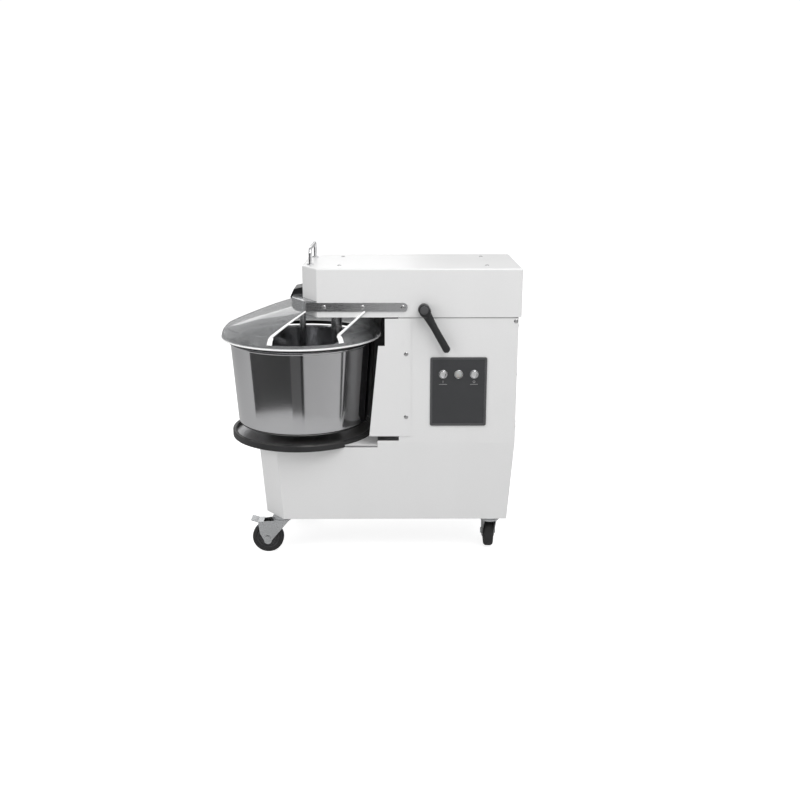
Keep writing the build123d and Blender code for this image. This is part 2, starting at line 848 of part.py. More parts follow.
spring_lug_r = spring_pin_r + spring_slot_gap + spring_lug_wall
spring_lug_t = 6.0
spring_lug_x = hinge_x + spring_head_dx
spring_lug_z = hinge_z + spring_head_dz
with BuildPart() as head_chassis:
    with BuildSketch(level(chassis_z)):
        Polygon(*head_outline(-sheet - seat_gap), align=None)
        with Locations((chassis_back + head_back / 2, 0)):
            Rectangle(head_back, 3 * head_half_w, mode=Mode.SUBTRACT)
        with Locations((drive_x, 0)):
            Circle(clutch_r + input_hole_gap, mode=Mode.SUBTRACT)
        with Locations((spiral_x, 0)):
            Circle(spiral_shaft_r + 2 * sheet, mode=Mode.SUBTRACT)
        with Locations((lever_x, -lug_y)):
            Rectangle(2 * (lug_half_w + lug_slot_gap), 4 * lug_t, mode=Mode.SUBTRACT)
    extrude(amount=frame_plate)
    for y in (-cheek_y, cheek_y):
        with BuildSketch(near_side(y + frame_plate / 2)):
            Polygon(
                (cheek_front, chassis_z),
                (chassis_back, chassis_z),
                (hinge_x, hinge_z - knuckle_r),
                (hinge_x, hinge_z + knuckle_r),
                (chassis_back, chassis_z + cheek_h),
                (cheek_front, chassis_z + cheek_h),
                align=None,
            )
            with Locations((hinge_x, hinge_z)):
                Circle(knuckle_r)
                Circle(hinge_r + running, mode=Mode.SUBTRACT)
        extrude(amount=frame_plate)
    with BuildSketch(near_side(spring_y + spring_lug_t / 2)):
        with Locations((spring_lug_x, spring_lug_z)):
            Circle(spring_lug_r)
        Polygon(
            (chassis_back - spring_lug_r, chassis_z),
            (chassis_back, chassis_z),
            (chassis_back, spring_lug_z - spring_lug_r),
            (spring_lug_x, spring_lug_z - spring_lug_r),
            (spring_lug_x, spring_lug_z + spring_lug_r),
            (chassis_back - spring_lug_r, spring_lug_z + spring_lug_r),
            align=None,
        )
        with Locations((spring_lug_x, spring_lug_z)):
            Circle(spring_pin_r + spring_slot_gap, mode=Mode.SUBTRACT)
    extrude(amount=spring_lug_t)
save(head_chassis, "head_chassis")

head_shaft_top = head_pulley_z + pulley_h
head_shaft = turned(
    [
        (0, upper_clutch_z),
        (drive_r, upper_clutch_z),
        (drive_r, head_shaft_top),
        (0, head_shaft_top),
    ],
    drive_x,
)
save(head_shaft, "head_shaft")

bearing_top = head_pulley_z - hub_h - passing
bearing_flange = 34.0  # beyond the bore
bearing_body = 18.0
bearing_flange_h = 10.0
bearing_slope_h = 6.0


def bearing_profile(bore):
    """Half section of a flanged bearing unit standing on the head's chassis."""
    flange_r = bore + bearing_flange
    body_r = bore + bearing_body
    flange_top = chassis_top + bearing_flange_h
    return [
        (bore, chassis_top),
        (flange_r, chassis_top),
        (flange_r, flange_top),
        (body_r, flange_top + bearing_slope_h),
        (body_r, bearing_top),
        (bore, bearing_top),
    ]


with BuildPart() as head_bearings:
    for x, bore in ((spiral_x, spiral_shaft_r + running), (drive_x, drive_r + running)):
        add(turned(bearing_profile(bore), x).part)
save(head_bearings, "head_bearings")

head_pulley = turned(pulley_profile(head_pulley_r, drive_r, head_pulley_z), drive_x)
save(head_pulley, "head_pulley")
spiral_pulley = turned(pulley_profile(head_pulley_r, spiral_shaft_r, head_pulley_z), spiral_x)
save(spiral_pulley, "spiral_pulley")
head_belt = belt(head_pulley_z, spiral_x, head_pulley_r, drive_x, head_pulley_r)
save(head_belt, "head_belt")

# The spiral bar leaves the shaft's foot, swings out to its radius, winds down and turns in at the end.
spiral_z = bowl_z + bowl_wall + spiral_floor_gap + spiral_bar_r
spiral_fall = spiral_turns * spiral_pitch
spiral_run_out = 60.0
spiral_steps = 26
spiral_start = 0.2  # share of the bar that swings out from the shaft
spiral_end = 0.12  # share that turns in at the tip
spiral_tip_r = 0.45  # radius of the tip as a share of the spiral's
spiral_crowd = 1.2  # draws the turns together towards the floor


def spiral_point(t):
    """A point of the bar's centre line, t running from the shaft (0) to the tip (1)."""
    angle = 2 * pi * (spiral_turns + 0.5) * t
    out = sin(pi / 2 * min(t / spiral_start, 1.0))
    back = sin(pi / 2 * min((1 - t) / spiral_end, 1.0))
    reach = spiral_r * out * (spiral_tip_r + (1 - spiral_tip_r) * back)
    drop = spiral_fall + spiral_run_out
    height = spiral_z + drop * (1 - sin(pi / 2 * t) ** spiral_crowd)
    return (bowl_x + spiral_x + reach * cos(angle), reach * sin(angle), height)


with BuildPart() as spiral_hook:
    with BuildLine() as bar_line:
        Spline(*[spiral_point(k / spiral_steps) for k in range(spiral_steps + 1)])
    with BuildSketch(Plane(bar_line.line @ 0, z_dir=bar_line.line % 0)):
        Circle(spiral_bar_r)
    sweep(path=bar_line.line)
    shaft_foot = spiral_point(0)[2] - spiral_bar_r
    with BuildSketch(level(shaft_foot, spiral_x)):
        Circle(spiral_shaft_r)
    extrude(amount=head_shaft_top - shaft_foot)
save(spiral_hook, "spiral_hook")

# ---------------------------------------------------------------- breaker bar and its housing

housing_front = head_front - 47.0
housing_half_w = 45.0
housing_z = head_z + 34.0
housing_h = 37.0
housing_slope = 14.0
housing_shoulder = 30.0
housing_round = 5.0
breaker_tip_round = 4.0
breaker_foot = bowl_z + bowl_wall + breaker_floor_gap

with BuildPart() as breaker_bar:
    with BuildSketch(level(breaker_foot, breaker_x)):
        Circle(breaker_r)
    extrude(amount=housing_z + housing_h / 2 - breaker_foot)
    fillet(breaker_bar.faces().sort_by(Axis.Z)[0].edges(), breaker_tip_round)
save(breaker_bar, "breaker_bar")

with BuildPart() as bar_housing:
    with BuildSketch(near_side(housing_half_w)):
        with BuildLine():
            wedge = FilletPolyline(
                (head_front, housing_z),
                (housing_front, housing_z),
                (housing_front + housing_slope, housing_z + housing_shoulder),
                (head_front, housing_z + housing_h),
                radius=housing_round,
            )
            Line(wedge @ 0, wedge @ 1)
        make_face()
    extrude(amount=2 * housing_half_w)
    with BuildSketch(level(housing_z, breaker_x)):
        Circle(breaker_r)
    extrude(amount=housing_h / 2, mode=Mode.SUBTRACT)
save(bar_housing, "bar_housing")

# ---------------------------------------------------------------- clear bowl guard and its straps

hood_half = head_half_w + guard_wall
hood_nose = head_half_w - head_chamfer_y
hood_tail_x = guard_shell_r - 8.0
rim_lag = 0.95
rim_back = degrees(asin(hood_half / guard_shell_r)) + rim_lag  # below the collar, clear of the head's sides
rim_angles = (-150.0, -107.0, -rim_back, -28.0, 28.0, rim_back, 107.0, 150.0)
hood_corners = (
    (head_front - collar_forward, -hood_nose),
    (head_fold_x - collar_forward, -hood_half),
    (hood_back_x, -hood_half),
    (hood_tail_x, -hood_nose),
    (hood_tail_x, hood_nose),
    (hood_back_x, hood_half),
    (head_fold_x - collar_forward, hood_half),
    (head_front - collar_forward, hood_nose),
)


def on_rim(radius, angle):
    """A point of a circle round the bowl's axis."""
    return (radius * cos(radians(angle)), radius * sin(radians(angle)))


def rim_arcs(radius):
    """The rim circle as eight arcs, one for each side of the collar."""
    turns = rim_angles + (rim_angles[0] + 360,)
    for start, end in zip(turns, turns[1:]):
        ThreePointArc(
            on_rim(radius, start), on_rim(radius, (start + end) / 2), on_rim(radius, end)
        )


def inset_corners(inset):
    """The collar's corners drawn in towards the middle of the hood."""
    middle_x = (head_front + hood_tail_x) / 2
    return [(x - copysign(inset, x - middle_x), y - copysign(inset, y)) for x, y in hood_corners]


feed_in_r = guard_shell_r - 84.0
feed_depth = 40.0
feed_front_x = head_fold_x - collar_forward
feed_back_x = hood_back_x - 6.0
feed_back_angle = rim_angles[2] - 2.0

with BuildPart() as bowl_guard:
    with BuildSketch(level(guard_z)):
        Circle(guard_r)
    extrude(amount=guard_flange)
    with BuildSketch(level(guard_z)):
        Circle(guard_shell_r)
    extrude(amount=guard_knee_z - guard_z)
    for z, inset, mode in ((0, 0.0, Mode.ADD), (0, guard_wall, Mode.SUBTRACT)):
        with BuildSketch(level(guard_knee_z)):
            with BuildLine():
                rim_arcs(guard_shell_r - inset)
            make_face()
        with BuildSketch(level(collar_z)):
            Polygon(*inset_corners(inset), align=None)
        loft(ruled=True, mode=mode)
    with BuildSketch(level(guard_z)):
        Circle(guard_shell_r - guard_wall)
    extrude(amount=guard_knee_z - guard_z, mode=Mode.SUBTRACT)
    with BuildSketch(level(collar_z)):
        Polygon(*hood_corners, align=None)
        Polygon(*inset_corners(guard_wall), align=None, mode=Mode.SUBTRACT)
        with Locations((head_fold_x - collar_forward + head_back / 2, 0)):
            Rectangle(head_back, 3 * head_half_w, mode=Mode.SUBTRACT)
    extrude(amount=collar_h)
    with BuildSketch(level(collar_z + collar_h - guard_wall)):
        Polygon(*hood_corners, align=None)
        with Locations((head_fold_x - collar_forward + head_back / 2, 0)):
            Rectangle(head_back, 3 * head_half_w, mode=Mode.SUBTRACT)
    extrude(amount=guard_wall)
    with BuildSketch(level(head_z - sheet)):
        Polygon(*head_outline(passing), align=None)
    extrude(amount=head_h, mode=Mode.SUBTRACT)
    with BuildSketch(level(housing_z - seat_gap, (housing_front + head_front) / 2)):
        Rectangle(head_front - housing_front + 2 * seat_gap, 2 * (housing_half_w + seat_gap))
    extrude(amount=housing_h, mode=Mode.SUBTRACT)
    # Feed opening on the operator's side, between two edges that lean with the hood
    with BuildSketch(level(guard_knee_z)):
        Polygon(
            on_rim(feed_in_r, rim_angles[1]),
            on_rim(guard_shell_r + 1, rim_angles[1]),
            on_rim(2 * guard_shell_r, (rim_angles[1] + feed_back_angle) / 2),
            on_rim(guard_shell_r + 1, feed_back_angle),
            on_rim(feed_in_r, feed_back_angle),
            align=None,
        )
    with BuildSketch(level(collar_z)):
        Polygon(
            (feed_front_x, -hood_half + feed_depth),
            (feed_front_x, -hood_half - 1),
            ((feed_front_x + feed_back_x) / 2, -2 * hood_half),
            (feed_back_x, -hood_half - 1),
            (feed_back_x, -hood_half + feed_depth),
            align=None,
        )
    loft(ruled=True, mode=Mode.SUBTRACT)
save(bowl_guard, "bowl_guard")

with BuildPart() as guard_straps:
    with BuildSketch(near_side(-head_half_w)):
        with BuildLine():
            low = Line((strap_back_x - strap_w / 2, strap_z), (strap_front_x, strap_z))
            front = Line(low @ 1, (strap_front_x, strap_z + strap_w))
            high = Line(front @ 1, (strap_back_x - strap_w / 2, strap_z + strap_w))
            ThreePointArc(high @ 1, (strap_back_x, strap_z + strap_w / 2), low @ 0)
        make_face()
        with Locations(*[(x, strap_z + strap_w / 2) for x in strap_screw_x]):
            Circle(screw_hole_r, mode=Mode.SUBTRACT)
    extrude(amount=strap_sheet)
    mirror(about=Plane.XZ)
save(guard_straps, "guard_straps")

top_screw_y = 110.0
top_screws = [(x, y) for x in (head_fold_x + 64.0, head_back - 100.0) for y in (-top_screw_y, top_screw_y)]
with BuildPart() as head_screws:
    for x in strap_screw_x:
        z = strap_z + strap_w / 2
        add(screw(near_side(-head_half_w - strap_sheet, x, z)))
        add(screw(far_side(head_half_w + strap_sheet, x, z)))
    with BuildSketch(level(head_top)):
        with Locations(*top_screws):
            Circle(screw_head_r)
    extrude(amount=screw_head_h)
save(head_screws, "head_screws")

handle_foot_h = 4.0

with BuildPart() as lift_handle:
    with BuildLine() as handle_line:
        FilletPolyline(
            (bowl_x + handle_x, -handle_y, head_top),
            (bowl_x + handle_x, -handle_y, head_top + handle_h - handle_r),
            (bowl_x + handle_x, handle_y, head_top + handle_h - handle_r),
            (bowl_x + handle_x, handle_y, head_top),
            radius=handle_bend,
        )
    with BuildSketch(level(head_top, handle_x, -handle_y)):
        Circle(handle_r)
    sweep(path=handle_line.line)
    with BuildSketch(level(head_top, handle_x)):
        with Locations((0, -handle_y), (0, handle_y)):
            Circle(2 * handle_r)
    extrude(amount=handle_foot_h)
save(lift_handle, "lift_handle")

# ---------------------------------------------------------------- lock lever

arm_w = 22.0
arm_t = 12.0
arm_inset = 4.0
hub_y = head_half_w + 2.0
hub_depth = 30.0
hub_round = 8.0
stud_in = 5.0

with BuildPart() as lock_lever:
    with BuildSketch(near_side(-hub_y, lever_x, lever_z)):
        Circle(lever_hub_r)
    extrude(amount=hub_depth)
    fillet(lock_lever.faces().sort_by(Axis.Y)[0].edges(), hub_round)
    arm = Plane(
        origin=(bowl_x + lever_x, arm_inset + arm_t - hub_y - hub_depth, lever_z),
        x_dir=(cos(radians(lever_lean)), 0, sin(radians(lever_lean))),
        z_dir=(0, -1, 0),
    )
    with BuildSketch(arm):
        with BuildLine():
            foot_y = -lever_arm + arm_w / 2
            left = Line((-arm_w / 3, 0), (-arm_w / 2, foot_y))
            right = Line((arm_w / 2, foot_y), (arm_w / 3, 0))
            ThreePointArc(left @ 1, (0, -lever_arm), right @ 0)
            Line(right @ 1, left @ 0)
        make_face()
    extrude(amount=arm_t)
    with BuildSketch(near_side(-lug_y + lug_t / 2 + stud_in, lever_x, lever_z)):
        Circle(stud_r)
    extrude(amount=hub_y - lug_y + lug_t / 2 + stud_in)
save(lock_lever, "lock_lever")

# ---------------------------------------------------------------- gas spring

spring_dx = spring_head_dx - spring_foot_dx
spring_dz = spring_head_dz - spring_foot_dz
spring_length = sqrt(spring_dx**2 + spring_dz**2)
spring_tube = 165.0
eye_r = 9.0
eye_t = 12.0
fork_gap = 0.6
fork_web = 8.0
fork_reach = spring_lug_r + spring_slot_gap + 1
spring_plane = Plane(
    origin=(bowl_x + spring_foot_x, spring_y, spring_foot_z),
    x_dir=(0, 1, 0),
    z_dir=(spring_dx, 0, spring_dz),
)

with BuildPart() as gas_cylinder:
    with BuildSketch(spring_plane.offset(eye_r + 2)):
        Circle(spring_tube_r)
    extrude(amount=spring_tube)
    with BuildSketch(spring_plane.offset(spring_length / 2)):
        Circle(spring_rod_r + running)
    extrude(amount=spring_length, mode=Mode.SUBTRACT)
    with BuildSketch(near_side(spring_y + eye_t / 2, spring_foot_x, spring_foot_z)):
        Circle(eye_r)
        with Locations((0, eye_r)):
            Rectangle(eye_t, eye_t)
    extrude(amount=eye_t)
    with BuildSketch(near_side(post_y + running, spring_foot_x, spring_foot_z)):
        Circle(spring_pin_r)
    extrude(amount=post_y - spring_y)
save(gas_cylinder, "gas_cylinder")

with BuildPart() as gas_rod:
    with BuildSketch(spring_plane.offset(spring_length / 2 + running)):
        Circle(spring_rod_r)
    extrude(amount=spring_length / 2 - fork_reach)
    with BuildSketch(near_side(spring_y + eye_r, spring_lug_x, spring_lug_z)):
        with Locations((0, (eye_r - fork_reach - fork_web) / 2)):
            RectangleRounded(2 * eye_r, eye_r + fork_reach + fork_web, fork_web / 2)
    extrude(amount=2 * eye_r)
    with BuildSketch(near_side(spring_y + spring_lug_t / 2 + fork_gap, spring_lug_x, spring_lug_z)):
        with Locations((0, (eye_r + 1 - fork_reach) / 2)):
            Rectangle(3 * eye_r, eye_r + 1 + fork_reach)
    extrude(amount=spring_lug_t + 2 * fork_gap, mode=Mode.SUBTRACT)
    with BuildSketch(near_side(spring_y + eye_r, spring_lug_x, spring_lug_z)):
        Circle(spring_pin_r)
    extrude(amount=2 * eye_r)
save(gas_rod, "gas_rod")

# ---------------------------------------------------------------- castors

raceway_r = 28.0
raceway_h = 6.0
stem_h = 30.0
fork_top = castor_h - raceway_h - seat_gap
fork_plate = 6.0
fork_bottom = fork_top - fork_plate
nut_h = 4.0
nut_r = 10.0
leg_y = wheel_w / 2 + 2.0
leg_in = 4.0
axle_pad_r = 12.0
axle_pad_z = wheel_r - 8.0
tread_round = 6.0

with BuildPart() as castor_stems:
    for x, y in castor_places:
        with BuildSketch(level(castor_h - raceway_h, x, y)):
            Circle(raceway_r)
        extrude(amount=raceway_h)
        with BuildSketch(level(fork_bottom - nut_h - seat_gap, x, y)):
            Circle(kingpin_r)
        extrude(amount=castor_h + stem_h - fork_bottom + nut_h)
        with BuildSketch(level(fork_bottom - nut_h - seat_gap, x, y)):
            RegularPolygon(nut_r, 6)
        extrude(amount=nut_h)
        with BuildSketch(level(castor_h + deck_plate, x, y)):
            RegularPolygon(nut_r, 6)
        extrude(amount=2 * nut_h)
save(castor_stems, "castor_stems")

pedal_run = 21.0
pedal_pin_r = 3.0
pedal_pad = 7.0  # metal behind the pin in the fork's legs
pedal_pad_h = 5.0
pedal_u = castor_trail + pedal_run
pedal_z = wheel_r + sqrt((wheel_r + pedal_pin_r + seat_gap) ** 2 - pedal_run**2)  # just over the tyre
pedal_sheet = 2.0
pedal_rise = 7.0
pedal_step = 8.0
pedal_length = 30.0
ear_size = 14.0
ear_rise = 2.0
ear_y = leg_y + fork_sheet + passing


def castor_frame(x, y, turn):
    """Planes of one castor: across its wheel, with local x trailing away from the swivel."""
    c, s = cos(radians(turn)), sin(radians(turn))

    def across(v):
        origin = (bowl_x + x - v * s, y + v * c, 0)
        return Plane(origin=origin, x_dir=(c, s, 0), z_dir=(s, -c, 0))

    return across


for name, (x, y, turn) in castors.items():
    across = castor_frame(x, y, turn)
    braked = name.startswith("front")
    with BuildPart() as fork:
        with BuildSketch(level(fork_bottom, x, y)):
            Circle(raceway_r + 2)
            Circle(kingpin_r + running, mode=Mode.SUBTRACT)
        extrude(amount=fork_plate)
        for v in (leg_y + fork_sheet, -leg_y):
            with BuildSketch(across(v)):
                Polygon(
                    (leg_in - raceway_r, fork_bottom),
                    (castor_trail - axle_pad_r, axle_pad_z),
                    (castor_trail + axle_pad_r, axle_pad_z),
                    (castor_trail + 2 * axle_pad_r, axle_pad_z + 2 * axle_pad_r),
                    (pedal_u + pedal_pad, pedal_z - pedal_pad_h),
                    (pedal_u + pedal_pad, pedal_z + pedal_pad_h),
                    (raceway_r - leg_in, fork_bottom),
                    align=None,
                )
                with Locations((castor_trail, axle_pad_z)):
                    Circle(axle_pad_r)
                with Locations((pedal_u, pedal_z)):
                    Circle(pedal_pin_r + running, mode=Mode.SUBTRACT)
            extrude(amount=fork_sheet)
        with BuildSketch(across(leg_y + fork_sheet + nut_h)):
            with Locations((castor_trail, wheel_r)):
                RegularPolygon(nut_r, 6)
        extrude(amount=nut_h)
        with BuildSketch(across(-leg_y - fork_sheet)):
            with Locations((castor_trail, wheel_r)):
                RegularPolygon(nut_r, 6)
        extrude(amount=nut_h)
        with BuildSketch(across(leg_y + fork_sheet)):
            with Locations((castor_trail, wheel_r)):
                Circle(axle_r)
        extrude(amount=2 * (leg_y + fork_sheet))
        if not braked:
            with BuildSketch(across(leg_y + fork_sheet)):
                with Locations((pedal_u, pedal_z)):
                    Circle(pedal_pin_r + 2 * running)
            extrude(amount=fork_sheet)
            with BuildSketch(across(-leg_y)):
                with Locations((pedal_u, pedal_z)):
                    Circle(pedal_pin_r + 2 * running)
            extrude(amount=fork_sheet)
    save(fork, f"castor_fork_{name}")

    with BuildPart() as wheel:
        with BuildSketch(across(wheel_w / 2)):
            with Locations((castor_trail, wheel_r)):
                Circle(wheel_r)
                Circle(axle_r + running, mode=Mode.SUBTRACT)
        extrude(amount=wheel_w)
        fillet(wheel.edges().filter_by(GeomType.CIRCLE).group_by(SortBy.RADIUS)[-1], tread_round)
    save(wheel, f"castor_wheel_{name}")

    if braked:
        low = pedal_z + pedal_rise
        high = low + pedal_rise
        with BuildPart() as pedal:
            with BuildSketch(across(ear_y + pedal_sheet)):
                with BuildLine():
                    Polyline(
                        (pedal_u - pedal_step - pedal_sheet, low),
                        (pedal_u + pedal_step, low),
                        (pedal_u + pedal_length, high),
                        (pedal_u + pedal_length, high + pedal_sheet),
                        (pedal_u + pedal_step, low + pedal_sheet),
                        (pedal_u - pedal_step - pedal_sheet, low + pedal_sheet),
                        close=True,
                    )
                make_face()
            extrude(amount=2 * (ear_y + pedal_sheet))
            for v in (ear_y + pedal_sheet, -ear_y):
                with BuildSketch(across(v)):
                    with Locations((pedal_u, pedal_z + ear_rise)):
                        Rectangle(ear_size, ear_size)
                extrude(amount=pedal_sheet)
            with BuildSketch(across(ear_y + pedal_sheet)):
                with Locations((pedal_u, pedal_z)):
                    Circle(pedal_pin_r)
            extrude(amount=2 * (ear_y + pedal_sheet))
        save(pedal, f"brake_pedal_{name.split('_')[1]}")
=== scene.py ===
from math import atan2, cos, pi, radians, sin, sqrt

import bmesh
import bpy
from bpy.props import FloatProperty, FloatVectorProperty, IntProperty, PointerProperty
from mathutils import Matrix, Vector


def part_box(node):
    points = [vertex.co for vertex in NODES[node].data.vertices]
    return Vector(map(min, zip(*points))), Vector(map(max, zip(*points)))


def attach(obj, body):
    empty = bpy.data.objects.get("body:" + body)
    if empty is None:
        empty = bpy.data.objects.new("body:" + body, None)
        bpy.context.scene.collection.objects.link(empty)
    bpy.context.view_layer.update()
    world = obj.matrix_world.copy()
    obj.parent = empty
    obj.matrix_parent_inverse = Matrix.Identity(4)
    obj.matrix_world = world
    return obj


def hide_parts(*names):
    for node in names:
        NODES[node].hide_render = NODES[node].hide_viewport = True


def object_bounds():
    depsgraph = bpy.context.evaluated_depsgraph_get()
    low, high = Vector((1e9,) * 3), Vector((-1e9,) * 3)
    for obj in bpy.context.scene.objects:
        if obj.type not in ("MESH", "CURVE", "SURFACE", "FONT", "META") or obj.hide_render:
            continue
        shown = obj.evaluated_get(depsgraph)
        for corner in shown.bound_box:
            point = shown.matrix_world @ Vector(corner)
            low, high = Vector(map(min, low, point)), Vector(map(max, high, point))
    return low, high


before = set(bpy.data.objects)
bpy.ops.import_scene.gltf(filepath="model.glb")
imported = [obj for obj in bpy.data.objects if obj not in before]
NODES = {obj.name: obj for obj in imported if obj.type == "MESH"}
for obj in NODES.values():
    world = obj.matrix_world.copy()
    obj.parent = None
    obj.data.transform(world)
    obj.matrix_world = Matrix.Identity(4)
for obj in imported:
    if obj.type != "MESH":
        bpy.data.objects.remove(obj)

bl_info = {
    "name": "Spiral dough mixer",
    "version": (1, 0, 0),
    "blender": (4, 5, 0),
    "location": "3D View > Sidebar > Mixer",
    "description": "Builds the finished look of a tilting-head spiral dough mixer round its CAD frame",
    "category": "Object",
}

MM = 0.001
CAD_LOW, CAD_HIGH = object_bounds()
FORWARD = (0, -1, 0)  # towards the operator, who stands at the panel
CASTORS = ("front_near", "front_far", "back_near", "back_far")

# ------------------------------------------------------------------ places read from the frame


def centre(node):
    """Middle of a CAD node's box."""
    low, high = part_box(node)
    return (low + high) / 2


BOWL_LOW, BOWL_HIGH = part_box("bowl")
BOWL_AXIS = centre("bowl")
HEAD_LOW, HEAD_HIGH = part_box("head_shell")
GUARD_LOW, GUARD_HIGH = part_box("bowl_guard")
PLATE_LOW, PLATE_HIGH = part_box("control_plate")


def islands(node):
    """Boxes of the separate solids in one CAD node, as (low, high) pairs."""
    mesh = NODES[node].data
    parent = {}
    spot = [tuple(round(c, 5) for c in v.co) for v in mesh.vertices]

    def root(p):
        while parent.setdefault(p, p) != p:
            p = parent[p]
        return p

    for edge in mesh.edges:
        parent[root(spot[edge.vertices[0]])] = root(spot[edge.vertices[1]])
    groups = {}
    for p in spot:
        groups.setdefault(root(p), []).append(p)
    boxes = []
    for points in groups.values():
        boxes.append(tuple(Vector(pick(p[k] for p in points) for k in range(3)) for pick in (min, max)))
    return sorted(boxes, key=lambda box: tuple(box[0]))


# ------------------------------------------------------------------ mesh helpers


def new_piece(name, verts, faces, materials, crease=35.0):
    """A mesh object with smooth shading that breaks at edges sharper than crease degrees."""
    mesh = bpy.data.meshes.new(name)
    mesh.from_pydata([tuple(v) for v in verts], [], faces)
    mesh.validate()
    bm = bmesh.new()
    bm.from_mesh(mesh)
    bmesh.ops.remove_doubles(bm, verts=bm.verts, dist=1e-6)
    bmesh.ops.delete(bm, geom=[v for v in bm.verts if not v.link_faces], context="VERTS")
    bmesh.ops.recalc_face_normals(bm, faces=bm.faces)
    bm.to_mesh(mesh)
    bm.free()
    mesh.shade_smooth()
    mesh.set_sharp_from_angle(angle=radians(crease))
    for material in materials:
        mesh.materials.append(material)
    piece = bpy.data.objects.new(name, mesh)
    bpy.context.scene.collection.objects.link(piece)
    return piece


def soften(points, radius, steps=4, closed=False):
    """The same outline with each corner drawn round, in 2-D or 3-D."""
    count = len(points)
    made = []
    for k, point in enumerate(points):
        here = Vector(point)
        if not closed and k in (0, count - 1):
            made.append(here)
            continue
        before, after = Vector(points[k - 1]), Vector(points[(k + 1) % count])
        reach = min(radius, (before - here).length * 0.45, (after - here).length * 0.45)
        start = here + (before - here).normalized() * reach
        end = here + (after - here).normalized() * reach
        for j in range(steps + 1):
            t = j / steps
            made.append(start * (1 - t) ** 2 + here * 2 * t * (1 - t) + end * t**2)
    return made


def turning(axis):
    """Rotation that takes +Z to the given direction."""
    return Vector((0, 0, 1)).rotation_difference(Vector(axis)).to_matrix()


def turned(profile, origin, axis=(0, 0, 1), segments=64, closed=False):
    """Vertices and faces of a turned piece. The profile is (radius, height) points along the axis."""
    spin, verts, faces = turning(axis), [], []
    for j in range(segments):
        a = 2 * pi * j / segments
        for r, h in profile:
            verts.append(Vector(origin) + spin @ Vector((r * cos(a), r * sin(a), h)))
    count = len(profile)
    for j in range(segments):
        here, there = j * count, (j + 1) % segments * count
        for k in range(count if closed else count - 1):
            nxt = (k + 1) % count
            faces.append((here + k, there + k, there + nxt, here + nxt))
    return verts, faces


def joined(*parts):
    """Several (verts, faces) pairs as one."""
    verts, faces = [], []
    for part_verts, part_faces in parts:
        start = len(verts)
        verts += part_verts
        faces += [tuple(start + k for k in face) for face in part_faces]
    return verts, faces


def stacked(rings):
    """Vertices and faces of a closed body through rings of points, with both ends covered."""
    count = len(rings[0])
    verts, faces = [point for ring in rings for point in ring], []
    for row in range(len(rings) - 1):
        here, there = row * count, (row + 1) * count
        for k in range(count):
            nxt = (k + 1) % count
            faces.append((here + k, here + nxt, there + nxt, there + k))
    last = len(verts) - count
    faces += [tuple(range(count)), tuple(range(last, last + count))]
    return verts, faces


def tube(path, widths, flat=1.0, segments=16, up=(0, 1, 0)):
    """Vertices and faces of a closed bar along a path, with one half width for each point."""
    rings = []
    count = len(path)
    for k, point in enumerate(path):
        ahead = Vector(path[min(k + 1, count - 1)]) - Vector(path[max(k - 1, 0)])
        side = ahead.cross(Vector(up)).normalized()
        rise = side.cross(ahead).normalized()
        turns = [2 * pi * j / segments for j in range(segments)]
        wide, tall = side * widths[k], rise * widths[k] * flat
        rings.append([Vector(point) + wide * cos(a) + tall * sin(a) for a in turns])
    return stacked(rings)


def block(low, high):
    """Vertices and faces of a closed block between two corners."""
    across, along, up = zip(low, high)
    verts = [Vector((x, y, z)) for z in up for y in along for x in across]
    faces = [(0, 2, 3, 1), (4, 5, 7, 6), (0, 1, 5, 4), (2, 6, 7, 3), (0, 4, 6, 2), (1, 3, 7, 5)]
    return verts, faces


def round_edges(piece, width, segments=3, angle=32.0):
    """Small rounded edges on a piece, CAD nodes included, whose own mesh stays as it is."""
    weld = piece.modifiers.new("weld", "WELD")
    weld.merge_threshold = 1e-6
    whole = piece.modifiers.new("whole_faces", "DECIMATE")
    whole.decimate_type = "DISSOLVE"
    whole.angle_limit = radians(0.6)
    bevel = piece.modifiers.new("round", "BEVEL")
    bevel.width = width
    bevel.segments = segments
    bevel.limit_method = "ANGLE"
    bevel.angle_limit = radians(angle)
    bevel.miter_outer = "MITER_ARC"
    even = piece.modifiers.new("even_shading", "WEIGHTED_NORMAL")
    even.keep_sharp = True


# ------------------------------------------------------------------ shared surface effects


def add(tree, kind, inputs=None, **settings):
    """One shader node. Inputs are values or the output sockets that feed them."""
    node = tree.nodes.new(kind)
    for key, value in settings.items():
        setattr(node, key, value)
    for key, value in (inputs or {}).items():
        if isinstance(value, bpy.types.NodeSocket):
            tree.links.new(value, node.inputs[key])
        else:
            node.inputs[key].default_value = value
    return node


def maths(tree, operation, *values, clamp=False):
    """The result of one Math node."""
    node = tree.nodes.new("ShaderNodeMath")
    node.operation = operation
    node.use_clamp = clamp
    for k, value in enumerate(values):
        if isinstance(value, bpy.types.NodeSocket):
            tree.links.new(value, node.inputs[k])
        else:
            node.inputs[k].default_value = value
    return node.outputs[0]


def spread(tree, value, low, high, start=0.0, end=1.0):
    """A value between low and high, spread between start and end."""
    return add(tree, "ShaderNodeMapRange", {0: value, 1: low, 2: high, 3: start, 4: end}).outputs[0]


def noise(tree, place, scale, detail, **more):
    """The height of a noise texture."""
    made = {"Vector": place, "Scale": scale, "Detail": detail, **more}
    return add(tree, "ShaderNodeTexNoise", made).outputs["Fac"]


def object_place(tree, stretch):
    """Object coordinates, stretched."""
    place = add(tree, "ShaderNodeTexCoord").outputs["Object"]
    return add(tree, "ShaderNodeVectorMath", {0: place, 1: stretch}, operation="MULTIPLY").outputs[0]


